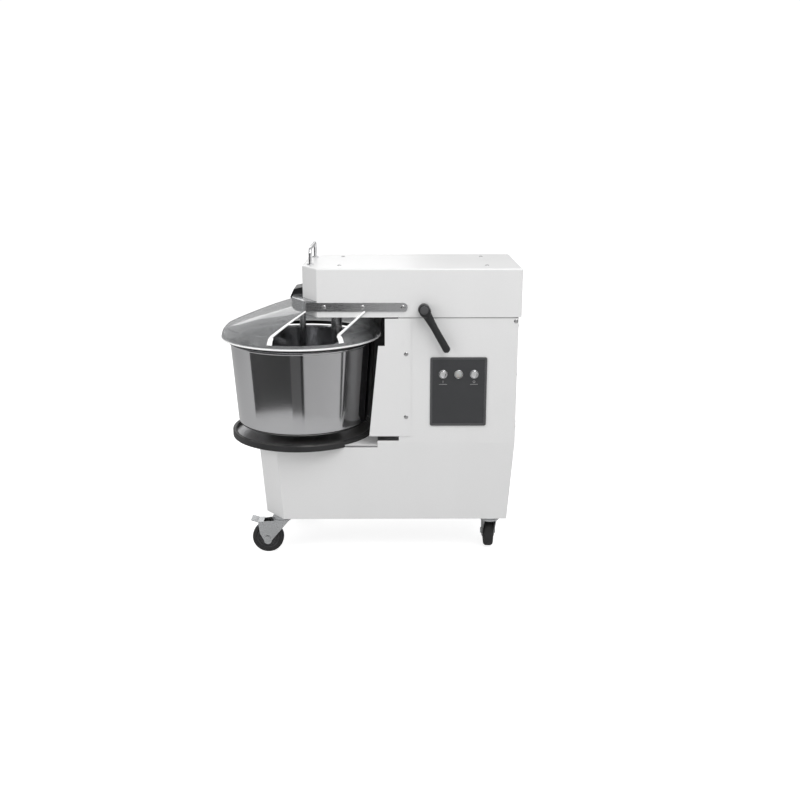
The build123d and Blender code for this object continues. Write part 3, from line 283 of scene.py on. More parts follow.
def new_group(name, inputs, outputs):
    """An empty shader node group with named sockets, as (tree, input node, output node)."""
    tree = bpy.data.node_groups.new(name, "ShaderNodeTree")
    for label, kind, default in inputs:
        socket = tree.interface.new_socket(label, in_out="INPUT", socket_type=kind)
        socket.default_value = default
    for label, kind in outputs:
        tree.interface.new_socket(label, in_out="OUTPUT", socket_type=kind)
    return tree, tree.nodes.new("NodeGroupInput").outputs, tree.nodes.new("NodeGroupOutput").inputs


VALUE, VECTOR = "NodeSocketFloat", "NodeSocketVector"


def grain_group():
    """Fine surface grain: a height and a tone that vary about their middle."""
    tree, given, made = new_group(
        "fine_grain",
        [("Scale", VALUE, 900.0), ("Stretch", VECTOR, (1, 1, 1)), ("Detail", VALUE, 3.0)],
        [("Height", VALUE), ("Tone", VALUE)],
    )
    place = object_place(tree, given["Stretch"])
    fine = noise(tree, place, given["Scale"], given["Detail"], Roughness=0.55)
    tree.links.new(fine, made["Height"])
    tree.links.new(spread(tree, fine, 0.3, 0.7, -1.0), made["Tone"])
    return tree


def wear_group():
    """Rubbed edges: a mask that is strong where a surface turns sharply, broken up by noise."""
    tree, given, made = new_group(
        "edge_wear",
        [("Reach", VALUE, 0.0015), ("Strength", VALUE, 0.5), ("Breakup", VALUE, 90.0)],
        [("Mask", VALUE)],
    )
    soft = add(tree, "ShaderNodeBevel", {"Radius": given["Reach"]}, samples=4)
    true = add(tree, "ShaderNodeNewGeometry")
    dot = add(
        tree,
        "ShaderNodeVectorMath",
        {0: soft.outputs["Normal"], 1: true.outputs["Normal"]},
        operation="DOT_PRODUCT",
    )
    turn = spread(tree, dot.outputs["Value"], 0.985, 0.80)
    place = add(tree, "ShaderNodeTexCoord").outputs["Object"]
    chips = spread(tree, noise(tree, place, given["Breakup"], 6.0), 0.46, 0.66)
    both = maths(tree, "MULTIPLY", turn, chips)
    tree.links.new(maths(tree, "MULTIPLY", both, given["Strength"], clamp=True), made["Mask"])
    return tree


def dust_group():
    """Flour dust: a mask on faces that look up, in soft patches."""
    tree, given, made = new_group(
        "flour_dust", [("Amount", VALUE, 0.3), ("Patch", VALUE, 14.0)], [("Mask", VALUE)]
    )
    coords = add(tree, "ShaderNodeTexCoord")
    upward = add(tree, "ShaderNodeSeparateXYZ", {0: coords.outputs["Normal"]}).outputs["Z"]
    facing = spread(tree, upward, 0.3, 0.95)
    wide = spread(tree, noise(tree, coords.outputs["Object"], given["Patch"], 5.0), 0.42, 0.72)
    fine = spread(tree, noise(tree, coords.outputs["Object"], 1400.0, 2.0), 0.45, 0.7, 0.3)
    mask = maths(tree, "MULTIPLY", maths(tree, "MULTIPLY", facing, wide), fine)
    tree.links.new(maths(tree, "MULTIPLY", mask, given["Amount"], clamp=True), made["Mask"])
    return tree


def handling_group():
    """Wiping and handling: broad soft streaks that change how glossy a surface is."""
    tree, given, made = new_group(
        "handling", [("Patch", VALUE, 6.0), ("Lean", VECTOR, (1.0, 1.0, 0.35))], [("Value", VALUE)]
    )
    broad = noise(tree, object_place(tree, given["Lean"]), given["Patch"], 6.0, Distortion=0.6)
    tree.links.new(spread(tree, broad, 0.3, 0.7, -1.0), made["Value"])
    return tree


def spun_group():
    """Turning and polishing lines that run round an upright axis."""
    tree, given, made = new_group(
        "spun_lines",
        [("Axis", VECTOR, (0, 0, 0)), ("Density", VALUE, 1500.0)],
        [("Height", VALUE), ("Tone", VALUE)],
    )
    place = add(tree, "ShaderNodeTexCoord").outputs["Object"]
    local = add(tree, "ShaderNodeVectorMath", {0: place, 1: given["Axis"]}, operation="SUBTRACT")
    split = add(tree, "ShaderNodeSeparateXYZ", {0: local.outputs[0]})
    x, y, z = split.outputs
    squares = [maths(tree, "MULTIPLY", part, part) for part in (x, y)]
    out = maths(tree, "SQRT", maths(tree, "ADD", *squares))
    across = maths(tree, "MULTIPLY", maths(tree, "ADD", out, z), given["Density"])
    along = maths(tree, "MULTIPLY", maths(tree, "ARCTAN2", y, x), 2.0)
    lines = add(tree, "ShaderNodeCombineXYZ", {0: across, 1: along, 2: maths(tree, "MULTIPLY", out, 9.0)})
    cut = noise(tree, lines.outputs[0], 1.0, 3.0)
    tree.links.new(cut, made["Height"])
    tree.links.new(spread(tree, cut, 0.3, 0.7, -1.0), made["Tone"])
    return tree


EFFECTS = {
    "fine_grain": grain_group,
    "edge_wear": wear_group,
    "flour_dust": dust_group,
    "handling": handling_group,
    "spun_lines": spun_group,
}


def effect(tree, name, **values):
    """Places a shared effect in a material with its own values, and gives its outputs."""
    node = tree.nodes.new("ShaderNodeGroup")
    node.node_tree = bpy.data.node_groups.get(name) or EFFECTS[name]()
    for key, value in values.items():
        node.inputs[key].default_value = value
    return node.outputs


# ------------------------------------------------------------------ finishes


FLOUR = (0.80, 0.78, 0.72)
FLOUR_ROUGHNESS = 0.9


def covered(tree, mask, painted, gloss, colour, roughness):
    """Colour and gloss with another colour and roughness laid over them where the mask is strong."""
    over = {0: mask, 6: painted, 7: (*colour, 1.0)}
    rough = {0: mask, 2: gloss, 3: roughness}
    return (
        add(tree, "ShaderNodeMix", over, data_type="RGBA").outputs[2],
        add(tree, "ShaderNodeMix", rough, data_type="FLOAT").outputs[0],
    )


def finish(
    name,
    colour,
    metallic=0.0,
    roughness=0.5,
    vary=0.06,
    tone=0.03,
    bump=0.00002,
    grain=(900.0, (1, 1, 1), 3.0),
    spun=None,
    patch=6.0,
    worn=None,
    dusty=0.0,
    **sockets,
):
    """A surface with grain, handling, rubbed edges and flour dust.

    Further names are the shader's own sockets, each with its fixed value.
    """
    made = bpy.data.materials.get(name)
    if made:
        return made
    made = bpy.data.materials.new(name)
    made.use_nodes = True
    tree = made.node_tree
    shader = tree.nodes["Principled BSDF"]
    shader.inputs["Metallic"].default_value = metallic
    for key, value in sockets.items():
        shader.inputs[key.replace("_", " ").title().replace("Ior", "IOR")].default_value = value
    if spun:
        lines = effect(tree, "spun_lines", Axis=spun[0], Density=spun[1])
    else:
        lines = effect(tree, "fine_grain", Scale=grain[0], Stretch=grain[1], Detail=grain[2])
    handled = effect(tree, "handling", Patch=patch)["Value"]
    shade = maths(tree, "MULTIPLY_ADD", maths(tree, "ADD", lines["Tone"], handled), tone, 1.0)
    painted = add(tree, "ShaderNodeVectorMath", {0: colour, "Scale": shade}, operation="SCALE").outputs[0]
    gloss = maths(tree, "MULTIPLY_ADD", maths(tree, "ADD", lines["Tone"], handled), vary, roughness)
    if worn:
        mask = effect(tree, "edge_wear", Reach=worn[0], Strength=worn[1])["Mask"]
        painted, gloss = covered(tree, mask, painted, gloss, worn[2], worn[3])
    if dusty:
        mask = effect(tree, "flour_dust", Amount=dusty)["Mask"]
        painted, gloss = covered(tree, mask, painted, gloss, FLOUR, FLOUR_ROUGHNESS)
        if metallic:
            clean = maths(tree, "MULTIPLY", maths(tree, "SUBTRACT", 1.0, mask), metallic)
            tree.links.new(clean, shader.inputs["Metallic"])
    tree.links.new(painted, shader.inputs["Base Color"])
    tree.links.new(gloss, shader.inputs["Roughness"])
    raised = add(tree, "ShaderNodeBump", {"Height": lines["Height"], "Strength": 1.0, "Distance": bump})
    tree.links.new(raised.outputs["Normal"], shader.inputs["Normal"])
    return made


def white_coat():
    """Satin white powder coat with a faint orange peel, thin on its edges."""
    colour = tuple(bpy.context.scene.mixer_colours.coat)
    return finish(
        "white_powder_coat", colour, roughness=0.38, vary=0.035, tone=0.010, bump=0.00006,
        grain=(420.0, (1, 1, 1), 2.0), worn=(0.0012, 0.22, (0.62, 0.61, 0.59), 0.5), dusty=0.06,
        coat_weight=0.25, coat_roughness=0.22,
    )


def seam_light_strip():
    """Pale grey strip filling the seam under the head; its pale grey is painted light that lightens the
    seam's shade line.
    """
    return finish(
        "seam_painted_light_strip", (0.46, 0.46, 0.46), roughness=0.7, vary=0.05, tone=0.05,
        bump=0.00004, grain=(900.0, (1, 1, 1), 2.0), dusty=0.1,
    )


def bowl_polish():
    """Polished stainless steel, with the fine rings of its turning."""
    tint = tuple(bpy.context.scene.mixer_colours.steel)
    place = (BOWL_AXIS.x, BOWL_AXIS.y, 0.0)
    return finish(
        "bowl_polished_steel", tint, metallic=1.0, roughness=0.10, vary=0.03, tone=0.02,
        bump=0.000004, spun=(place, 2600.0), patch=5.0,
    )


def hook_steel():
    """Polished tool steel of the spiral and the breaker bar."""
    return finish(
        "hook_polished_steel", (0.60, 0.60, 0.61), metallic=1.0, roughness=0.16, vary=0.05,
        tone=0.03, bump=0.00001, grain=(500.0, (1, 1, 0.2), 4.0), dusty=0.25,
    )


def strap_steel():
    """Brushed stainless strap, its lines along its length."""
    return finish(
        "strap_brushed_steel", (0.52, 0.52, 0.53), metallic=1.0, roughness=0.24, vary=0.06,
        tone=0.05, bump=0.00001, grain=(1500.0, (0.02, 1, 1), 3.0),
    )


def plate_steel():
    """Dull rolled plate with mill streaks."""
    return finish(
        "rolled_plate", (0.40, 0.40, 0.41), metallic=1.0, roughness=0.42, vary=0.08, tone=0.08,
        bump=0.00002, grain=(700.0, (0.05, 1, 1), 4.0), worn=(0.001, 0.5, (0.6, 0.6, 0.6), 0.3),
        dusty=0.45,
    )


def shaft_steel():
    """Ground shafts."""
    return finish(
        "ground_shaft_steel", (0.56, 0.56, 0.57), metallic=1.0, roughness=0.2, vary=0.05, tone=0.04,
        bump=0.000006, grain=(1800.0, (0.1, 0.1, 1), 3.0),
    )


def screw_steel():
    """Stainless screws, a little dull in the socket."""
    return finish(
        "screw_stainless", (0.50, 0.50, 0.50), metallic=1.0, roughness=0.28, vary=0.06, tone=0.06,
        bump=0.000008, grain=(2500.0, (1, 1, 1), 3.0),
    )


def chrome():
    """Bright chrome with light wiping marks."""
    return finish(
        "bright_chrome", (0.78, 0.78, 0.79), metallic=1.0, roughness=0.06, vary=0.02, tone=0.02,
        bump=0.000003, grain=(1200.0, (1, 1, 1), 3.0),
    )


def zinc():
    """Bright zinc plate, cloudy, dull at the edges."""
    return finish(
        "bright_zinc_plate", (0.54, 0.55, 0.56), metallic=1.0, roughness=0.28, vary=0.08, tone=0.05,
        bump=0.00001, grain=(220.0, (1, 1, 1), 6.0), patch=30.0,
        worn=(0.0012, 0.45, (0.32, 0.32, 0.33), 0.5), dusty=0.15,
    )


def tyre_rubber():
    """Moulded castor rubber, greyed by the floor."""
    return finish(
        "castor_tyre_rubber", (0.018, 0.018, 0.019), roughness=0.62, vary=0.10, tone=0.25,
        bump=0.00008, grain=(650.0, (1, 1, 1), 4.0), patch=40.0, dusty=0.18,
        worn=(0.002, 0.35, (0.10, 0.10, 0.10), 0.8),
    )


def hub_plastic():
    """Dark grey nylon of the wheel centres."""
    return finish(
        "wheel_hub_nylon", (0.050, 0.050, 0.053), roughness=0.42, vary=0.06, tone=0.10,
        bump=0.00003, patch=30.0,
    )


def edge_rubber():
    """Extruded black rubber with faint drawing lines."""
    return finish(
        "edging_rubber", (0.020, 0.020, 0.021), roughness=0.50, vary=0.08, tone=0.15, bump=0.00005,
        spun=((BOWL_AXIS.x, BOWL_AXIS.y, 0.0), 420.0), patch=18.0, dusty=0.22,
    )


def belt_rubber():
    """Woven-backed belt rubber."""
    return finish(
        "belt_rubber", (0.03, 0.03, 0.03), roughness=0.75, vary=0.08, tone=0.2, bump=0.0001,
        grain=(800.0, (1, 1, 4), 2.0),
    )


def cast_paint():
    """Grey hammered paint on castings."""
    return finish(
        "casting_grey_paint", (0.19, 0.20, 0.21), roughness=0.5, vary=0.08, tone=0.10, bump=0.00025,
        grain=(260.0, (1, 1, 1), 3.0), worn=(0.0015, 0.5, (0.35, 0.35, 0.35), 0.35), dusty=0.3,
    )


def gear_alloy():
    """Die-cast aluminium."""
    return finish(
        "diecast_alloy", (0.50, 0.51, 0.52), metallic=1.0, roughness=0.45, vary=0.08, tone=0.08,
        bump=0.00015, grain=(500.0, (1, 1, 1), 4.0), dusty=0.3,
    )


def black_plastic():
    """Black moulded plastic with a fine spark-eroded grain."""
    return finish(
        "black_grained_plastic", (0.013, 0.013, 0.014), roughness=0.40, vary=0.06, tone=0.12,
        bump=0.00005, grain=(1100.0, (1, 1, 1), 2.0), patch=25.0,
        worn=(0.002, 0.30, (0.06, 0.06, 0.06), 0.3),
    )


def panel_face():
    """Charcoal printed overlay, slightly glossy."""
    colour = tuple(bpy.context.scene.mixer_colours.panel)
    return finish(
        "charcoal_overlay", colour, roughness=0.36, vary=0.04, tone=0.04, bump=0.00002,
        grain=(1600.0, (1, 1, 1), 2.0), patch=12.0,
    )


def panel_rim():
    """Satin dark grey frame round the overlay."""
    return finish(
        "dark_grey_frame", (0.075, 0.075, 0.078), roughness=0.34, vary=0.05, tone=0.06,
        bump=0.00003, grain=(900.0, (1, 1, 1), 2.0), worn=(0.001, 0.5, (0.20, 0.20, 0.20), 0.3),
    )


def panel_print():
    """Pale grey ink of the symbols."""
    return finish(
        "pale_print", (0.38, 0.38, 0.38), roughness=0.55, vary=0.04, tone=0.08, bump=0.00001,
        grain=(2500.0, (1, 1, 1), 2.0),
    )


def lamp_lens():
    """Frosted lens of the pilot lamp."""
    return finish(
        "frosted_lamp_lens", (0.42, 0.42, 0.41), roughness=0.22, vary=0.04, tone=0.03,
        bump=0.00004, grain=(900.0, (1, 1, 1), 2.0), coat_weight=0.6, coat_roughness=0.08,
        subsurface_weight=0.2,
    )


def spring_paint():
    """Gloss black enamel of the gas spring."""
    return finish(
        "gas_spring_enamel", (0.012, 0.012, 0.013), roughness=0.2, vary=0.04, tone=0.1,
        bump=0.00002, grain=(500.0, (1, 1, 1), 2.0), coat_weight=0.4, coat_roughness=0.1,
    )


def clear_guard():
    """Smoky clear moulded plastic, a little hazy from wiping and flour."""
    return finish(
        "clear_guard_plastic", (0.66, 0.67, 0.68), roughness=0.11, vary=0.04, tone=0.03,
        bump=0.00002, grain=(60.0, (1, 1, 1), 3.0), patch=9.0, transmission_weight=0.80, ior=1.6,
    )


def guard_edge_glow():
    """Sawn and flamed edge of the clear guard; its faint emission is a painted glow that stands in for the
    highlight its cut edges catch.
    """
    # The emission below is painted light: a glow on the cut edges, not a lamp.
    return finish(
        "guard_edge_painted_glow", (0.93, 0.93, 0.93), roughness=0.3, vary=0.06, tone=0.03,
        bump=0.00004, grain=(300.0, (1, 1, 1), 3.0), emission_color=(1, 1, 1, 1), emission_strength=0.16,
    )


# ------------------------------------------------------------------ settings


def length(name, description, default):
    """A setting that is a distance in metres."""
    return FloatProperty(
        name=name, description=description, default=default, unit="LENGTH", subtype="DISTANCE"
    )


class MixerColours(bpy.types.PropertyGroup):
    """Colours that a user would change."""

    coat: FloatVectorProperty(
        name="Coat", description="White powder coat", subtype="COLOR", size=3, default=(0.80, 0.80, 0.80)
    )
    steel: FloatVectorProperty(
        name="Bowl steel", description="Polished bowl", subtype="COLOR", size=3, default=(0.58, 0.58, 0.59)
    )
    panel: FloatVectorProperty(
        name="Panel", description="Control overlay", subtype="COLOR", size=3, default=(0.038, 0.039, 0.042)
    )


class MixerBowl(bpy.types.PropertyGroup):
    """Bowl, inside the box of its CAD node."""

    bead: length("Bead", "Radius of the rolled rim", 4 * MM)
    taper: length("Taper", "How far the wall draws in to the foot", 18 * MM)
    wall: length("Wall", "Thickness of the steel", 2 * MM)
    corner: length("Corner", "Radius at the foot", 14 * MM)
    foot_ring: length("Foot ring", "Radius of the ring under the bowl", 127 * MM)
    foot_ring_depth: length("Foot ring depth", "How far the ring hangs", 10 * MM)
    segments: IntProperty(name="Segments", description="Facets round the bowl", default=192, min=32)


class MixerGuard(bpy.types.PropertyGroup):
    """Clear bowl guard."""

    wall: length("Wall", "Thickness of the clear plastic", 3 * MM)
    flange_width: length("Flange width", "How far the flange stands out", 18 * MM)
    skirt: FloatProperty(
        name="Skirt", description="Height of the upright part over the flange's foot", default=30 * MM,
        unit="LENGTH", subtype="DISTANCE",
    )
    collar: length("Collar", "Height of the band in front of the head", 30 * MM)
    bulge: length("Bulge", "How far the hood is crowned", 6 * MM)


class MixerWheels(bpy.types.PropertyGroup):
    """Castor wheels."""

    hub_share: FloatProperty(
        name="Hub", description="Hub radius as a share of the wheel's", default=0.70, min=0.3, max=0.9,
        subtype="FACTOR",
    )
    segments: IntProperty(name="Segments", description="Facets round a wheel", default=96, min=24)


class MixerStage(bpy.types.PropertyGroup):
    """Camera and lights."""

    lens: FloatProperty(
        name="Lens", description="Focal length on a 36 mm sensor", default=42.75, unit="CAMERA"
    )
    camera_place: FloatVectorProperty(
        name="Camera", description="Place of the camera", default=(0.0855, -2.976, 1.286), size=3,
        subtype="TRANSLATION", unit="LENGTH",
    )
    camera_pitch: FloatProperty(
        name="Pitch", description="How far the camera looks down", default=radians(15.4), subtype="ANGLE",
        unit="ROTATION",
    )
    camera_turn: FloatProperty(
        name="Turn", description="Turn of the camera about the vertical", default=radians(-0.32),
        subtype="ANGLE", unit="ROTATION",
    )
    world: FloatProperty(name="Surround", description="Brightness of the surround", default=0.55, min=0.0)
    key: FloatProperty(
        name="Key", description="Power of the large overhead light", default=52.0, unit="POWER"
    )


SETTINGS = {
    "mixer_colours": MixerColours,
    "mixer_bowl": MixerBowl,
    "mixer_guard": MixerGuard,
    "mixer_wheels": MixerWheels,
    "mixer_stage": MixerStage,
}

# ------------------------------------------------------------------ bowl


class MIXER_OT_bowl(bpy.types.Operator):
    """Builds the polished bowl with its rolled rim and foot ring"""

    bl_idname = "mixer.bowl"
    bl_label = "Bowl"

    def execute(self, context):
        size = context.scene.mixer_bowl
        origin = (BOWL_AXIS.x, BOWL_AXIS.y, 0)
        rim = (BOWL_HIGH.x - BOWL_LOW.x) / 2 - size.bead
        foot = rim - size.taper
        floor = BOWL_LOW.z + size.foot_ring_depth
        top = BOWL_HIGH.z - size.bead
        inner_floor = floor + size.wall
        outer = soften([(0.0, floor), (foot, floor), (rim - 0.5 * MM, top)], size.corner * 1.3, 10)
        inner = soften(
            [(rim - size.wall, top), (foot - size.wall, inner_floor), (0.0, inner_floor)],
            size.corner * 1.3,
            10,
        )
        bead = []
        for k in range(15):
            a = radians(-75 + 255 * k / 14)
            bead.append(Vector((rim + size.bead * cos(a), top + size.bead * sin(a))))
        ring_out = size.foot_ring
        ring_in = ring_out - 5 * MM
        ring = soften(
            [(ring_in, floor), (ring_out, floor), (ring_out, BOWL_LOW.z), (ring_in, BOWL_LOW.z)],
            MM,
            3,
            closed=True,
        )
        parts = joined(
            turned(outer + bead + inner, origin, segments=size.segments),
            turned(ring, origin, segments=size.segments, closed=True),
        )
        bowl = new_piece("polished_bowl", *parts, [bowl_polish()], crease=50)
        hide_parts("bowl")
        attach(bowl, "turntable")
        return {"FINISHED"}


# ------------------------------------------------------------------ clear guard

RIM_CORNERS = (-150.0, -107.0, -54.0, -28.0, 28.0, 54.0, 107.0, 150.0)
GUARD_FACETS = 192
LIP_DROP = 6 * MM  # how far the rim's lip hangs below the flange of the frame
HOOD_STEPS = 14
HOOD_CUT = 10  # step at which the hood's tail meets the head's underside


def guard_corners(size):
    """The eight corners of the collar in plan, from the near front corner round to the far one."""
    head_half = (HEAD_HIGH.y - HEAD_LOW.y) / 2
    half = head_half + size.wall
    nose = head_half - 82 * MM
    forward = 35 * MM
    front = HEAD_LOW.x - forward
    fold = front + 49 * MM
    shell = (GUARD_HIGH.x - GUARD_LOW.x) / 2 - size.flange_width
    back = BOWL_AXIS.x + shell - 19 * MM
    tail = BOWL_AXIS.x + shell - 8 * MM
    near = [(front, -nose), (fold, -half), (back, -half), (tail, -nose)]
    return [Vector(c) for c in near + [(x, -y) for x, y in reversed(near)]]


def collar_point(corners, side, share, round_off=9 * MM):
    """A point of the collar's outline, its corners drawn round."""
    start, end = corners[side], corners[(side + 1) % 8]
    length = (end - start).length
    run = share * length
    before, after = corners[side - 1], corners[(side + 2) % 8]
    for corner, other, distance in ((start, before, run), (end, after, length - run)):
        if distance < round_off:
            ahead = (end - start) if corner is start else (start - end)
            here = corner + ahead.normalized() * round_off
            there = corner + (other - corner).normalized() * round_off
            t = 0.5 * (1 - distance / round_off)
            return here * (1 - t) ** 2 + corner * 2 * t * (1 - t) + there * t**2
    return start + (end - start) * share


def guard_section(size, angle, collar, inward):
    """Pairs of outer and inner points from the flange's edge up to the lid behind the collar."""
    a = radians(angle)
    plan = Vector((cos(a), sin(a), 0))
    axis = Vector((BOWL_AXIS.x, BOWL_AXIS.y, 0))
    rim = (GUARD_HIGH.x - GUARD_LOW.x) / 2
    shell = rim - size.flange_width
    inside = shell - size.wall
    low, knee = GUARD_LOW.z - LIP_DROP, GUARD_LOW.z + size.skirt
    top = knee + 70 * MM

    def at(radius, z):
        return axis + plan * radius + Vector((0, 0, z))

    pairs = []
    round_r = 29.5 * MM
    for k in range(6):
        t = radians(8 + 57 * k / 5)
        ends = []
        for inset in (0.0, size.wall):
            radius = shell - 0.6 * MM + round_r * (cos(t) - cos(radians(65))) - inset * cos(t)
            ends.append(at(radius, low + 3 * MM + ((round_r - inset) * 0.96 + LIP_DROP) * sin(t)))
        pairs.append(tuple(ends))
    pairs[0] = (pairs[0][0], at(rim - 5 * MM, low))
    crown = max(0.0, -cos(a)) * size.bulge
    outward = (plan * 0.6 + Vector((0, 0, 0.8))).normalized()
    for k in range(HOOD_STEPS + 1):
        t = k / HOOD_STEPS
        lift = outward * crown * sin(pi * t) ** 0.8 if 0 < t < 1 else Vector()
        ends = []
        for radius, inset in ((shell - 0.6 * MM, 0.0), (inside - 0.6 * MM, size.wall)):
            foot = at(radius, knee)
            head = Vector((*(collar + inward * inset), top))
            ends.append(foot * (1 - t) + head * t + lift)
        pairs.append(tuple(ends))
    lid = top + size.collar
    drop = size.wall
    reach = Vector((34.2 * MM, 0))
    head_edge = Vector((collar.x, collar.y * 184.8 / 187.0)) + reach
    for out_inset, out_z, in_inset, in_z in (
        (0.0, lid - 14.6 * MM, drop, lid - 14.6 * MM),
        (0.0, lid - 3 * MM, drop, lid - 6 * MM),
        (1.2 * MM, lid - 0.5 * MM, 3.8 * MM, lid - 3.6 * MM),
        (4 * MM, lid, 6 * MM, lid - drop),
    ):
        outer = Vector((*(collar + inward * out_inset), out_z))
        inner = Vector((*(collar + inward * in_inset), in_z))
        pairs.append((outer, inner))
    pairs.append((Vector((*head_edge, lid)), Vector((*head_edge, lid - drop))))
    return pairs


OPENING_REACH = 1
SKIRT_REACH = 6
TAIL_REACH = SKIRT_REACH + HOOD_CUT
HOOD_REACH = SKIRT_REACH + HOOD_STEPS
SLOT_REACH = HOOD_REACH + 1
LID_REACH = HOOD_REACH + 5


def guard_strips(corners):
    """Columns as (rim angle, side, share) and, for each strip between two columns, how far up it goes."""
    opening_end = (107.0 - 56.0) / (107.0 - 54.0)
    slot = 45.3 * MM / (corners[7] - corners[0]).length
    clear, flank = 2.8 * MM, 85 * MM
    shares = {
        0: [(0.0, 1.0, 14, LID_REACH)],
        1: [(0.0, opening_end, 18, OPENING_REACH), (opening_end, 1.0, 3, HOOD_REACH)],
        2: [(0.0, clear / flank, 2, HOOD_REACH), (clear / flank, 1.0, 9, TAIL_REACH)],
        3: [(0.0, 1.0, 18, TAIL_REACH)],
        4: [(0.0, 1 - clear / flank, 9, TAIL_REACH), (1 - clear / flank, 1.0, 2, HOOD_REACH)],
        5: [(0.0, 1.0, 22, HOOD_REACH)],
        6: [(0.0, 1.0, 14, LID_REACH)],
        7: [
            (0.0, 0.5 - slot, 7, LID_REACH),
            (0.5 - slot, 0.5 + slot, 8, SLOT_REACH),
            (0.5 + slot, 1.0, 7, LID_REACH),
        ],
    }
    columns, reaches = [], []
    for side, runs in shares.items():
        start = RIM_CORNERS[side]
        end = RIM_CORNERS[(side + 1) % 8] + (360.0 if side == 7 else 0.0)
        for first, last, steps, reach in runs:
            for k in range(steps):
                share = first + (last - first) * k / steps
                columns.append((start + (end - start) * share, side, share))
                reaches.append(reach)
    return columns, reaches


class MIXER_OT_guard(bpy.types.Operator):
    """Builds the clear bowl guard with its feed opening, collar and lid"""

    bl_idname = "mixer.guard"
    bl_label = "Bowl guard"

    def execute(self, context):
        size = context.scene.mixer_guard
        corners = guard_corners(size)
        columns, reaches = guard_strips(corners)
        middle = Vector((BOWL_AXIS.x, 0.0))
        rungs = LID_REACH + 1
        verts, sections = [], []
        rim = (GUARD_HIGH.x - GUARD_LOW.x) / 2
        for angle, side, share in columns:
            collar = collar_point(corners, side, share)
            ahead = corners[(side + 1) % 8] - corners[side]
            inward = Vector((-ahead.y, ahead.x)).normalized()
            if inward.dot(middle - collar) < 0:
                inward = -inward
            pairs = guard_section(size, angle, collar, inward)
            sections.append(pairs)
            for outer, inner in pairs:
                verts += [outer, inner]
            edge = Vector((cos(radians(angle)), sin(radians(angle)), 0)) * rim
            verts.append(Vector((BOWL_AXIS.x, BOWL_AXIS.y, GUARD_LOW.z - LIP_DROP + 1.5 * MM)) + edge)
        stride = 2 * rungs + 1
        faces = []
        count = len(columns)
        for j in range(count):
            here, there = j * stride, (j + 1) % count * stride
            reach, before = reaches[j], reaches[j - 1]
            for i in range(reach):
                a, b = here + 2 * i, there + 2 * i
                faces.append((a, b, b + 2, a + 2))
                faces.append((a + 1, a + 3, b + 3, b + 1))
            top = 2 * reach
            faces.append((here + top, there + top, there + top + 1, here + top + 1))
            rim_here, rim_there = here + stride - 1, there + stride - 1
            faces.append((rim_here, rim_there, there, here))
            faces.append((here + 1, there + 1, rim_there, rim_here))
            for i in range(min(reach, before), max(reach, before)):
                a = here + 2 * i
                faces.append((a, a + 1, a + 3, a + 2))
        guard = new_piece("clear_bowl_guard", verts, faces, [clear_guard()], crease=28)
        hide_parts("bowl_guard")
        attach(guard, "head")
        self.trim(size, sections, reaches)
        return {"FINISHED"}

    def trim(self, size, sections, reaches):
        """The thickened beads on the two edges of the feed opening, bright from the painted glow of their
        finish.
        """
        parts = []
        opened = [reach == OPENING_REACH for reach in reaches]
        ends = [j for j in range(len(reaches)) if opened[j] != opened[j - 1]]
        for j in ends:
            pairs = sections[j][OPENING_REACH : HOOD_REACH + 1]
            path = [(outer + inner) / 2 for outer, inner in pairs]
            slim = 5.5 if opened[j] else 3.5
            widths = [8.5 * MM - slim * MM * k / len(path) for k in range(len(path))]
            parts.append(tube(path, widths, flat=0.55, segments=14, up=(0, 0, 1)))
        trim = new_piece("guard_opening_edges", *joined(*parts), [guard_edge_glow()], crease=60)
        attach(trim, "head")


SEAL_H = 16 * MM  # how far the black lip reaches below the guard's flange


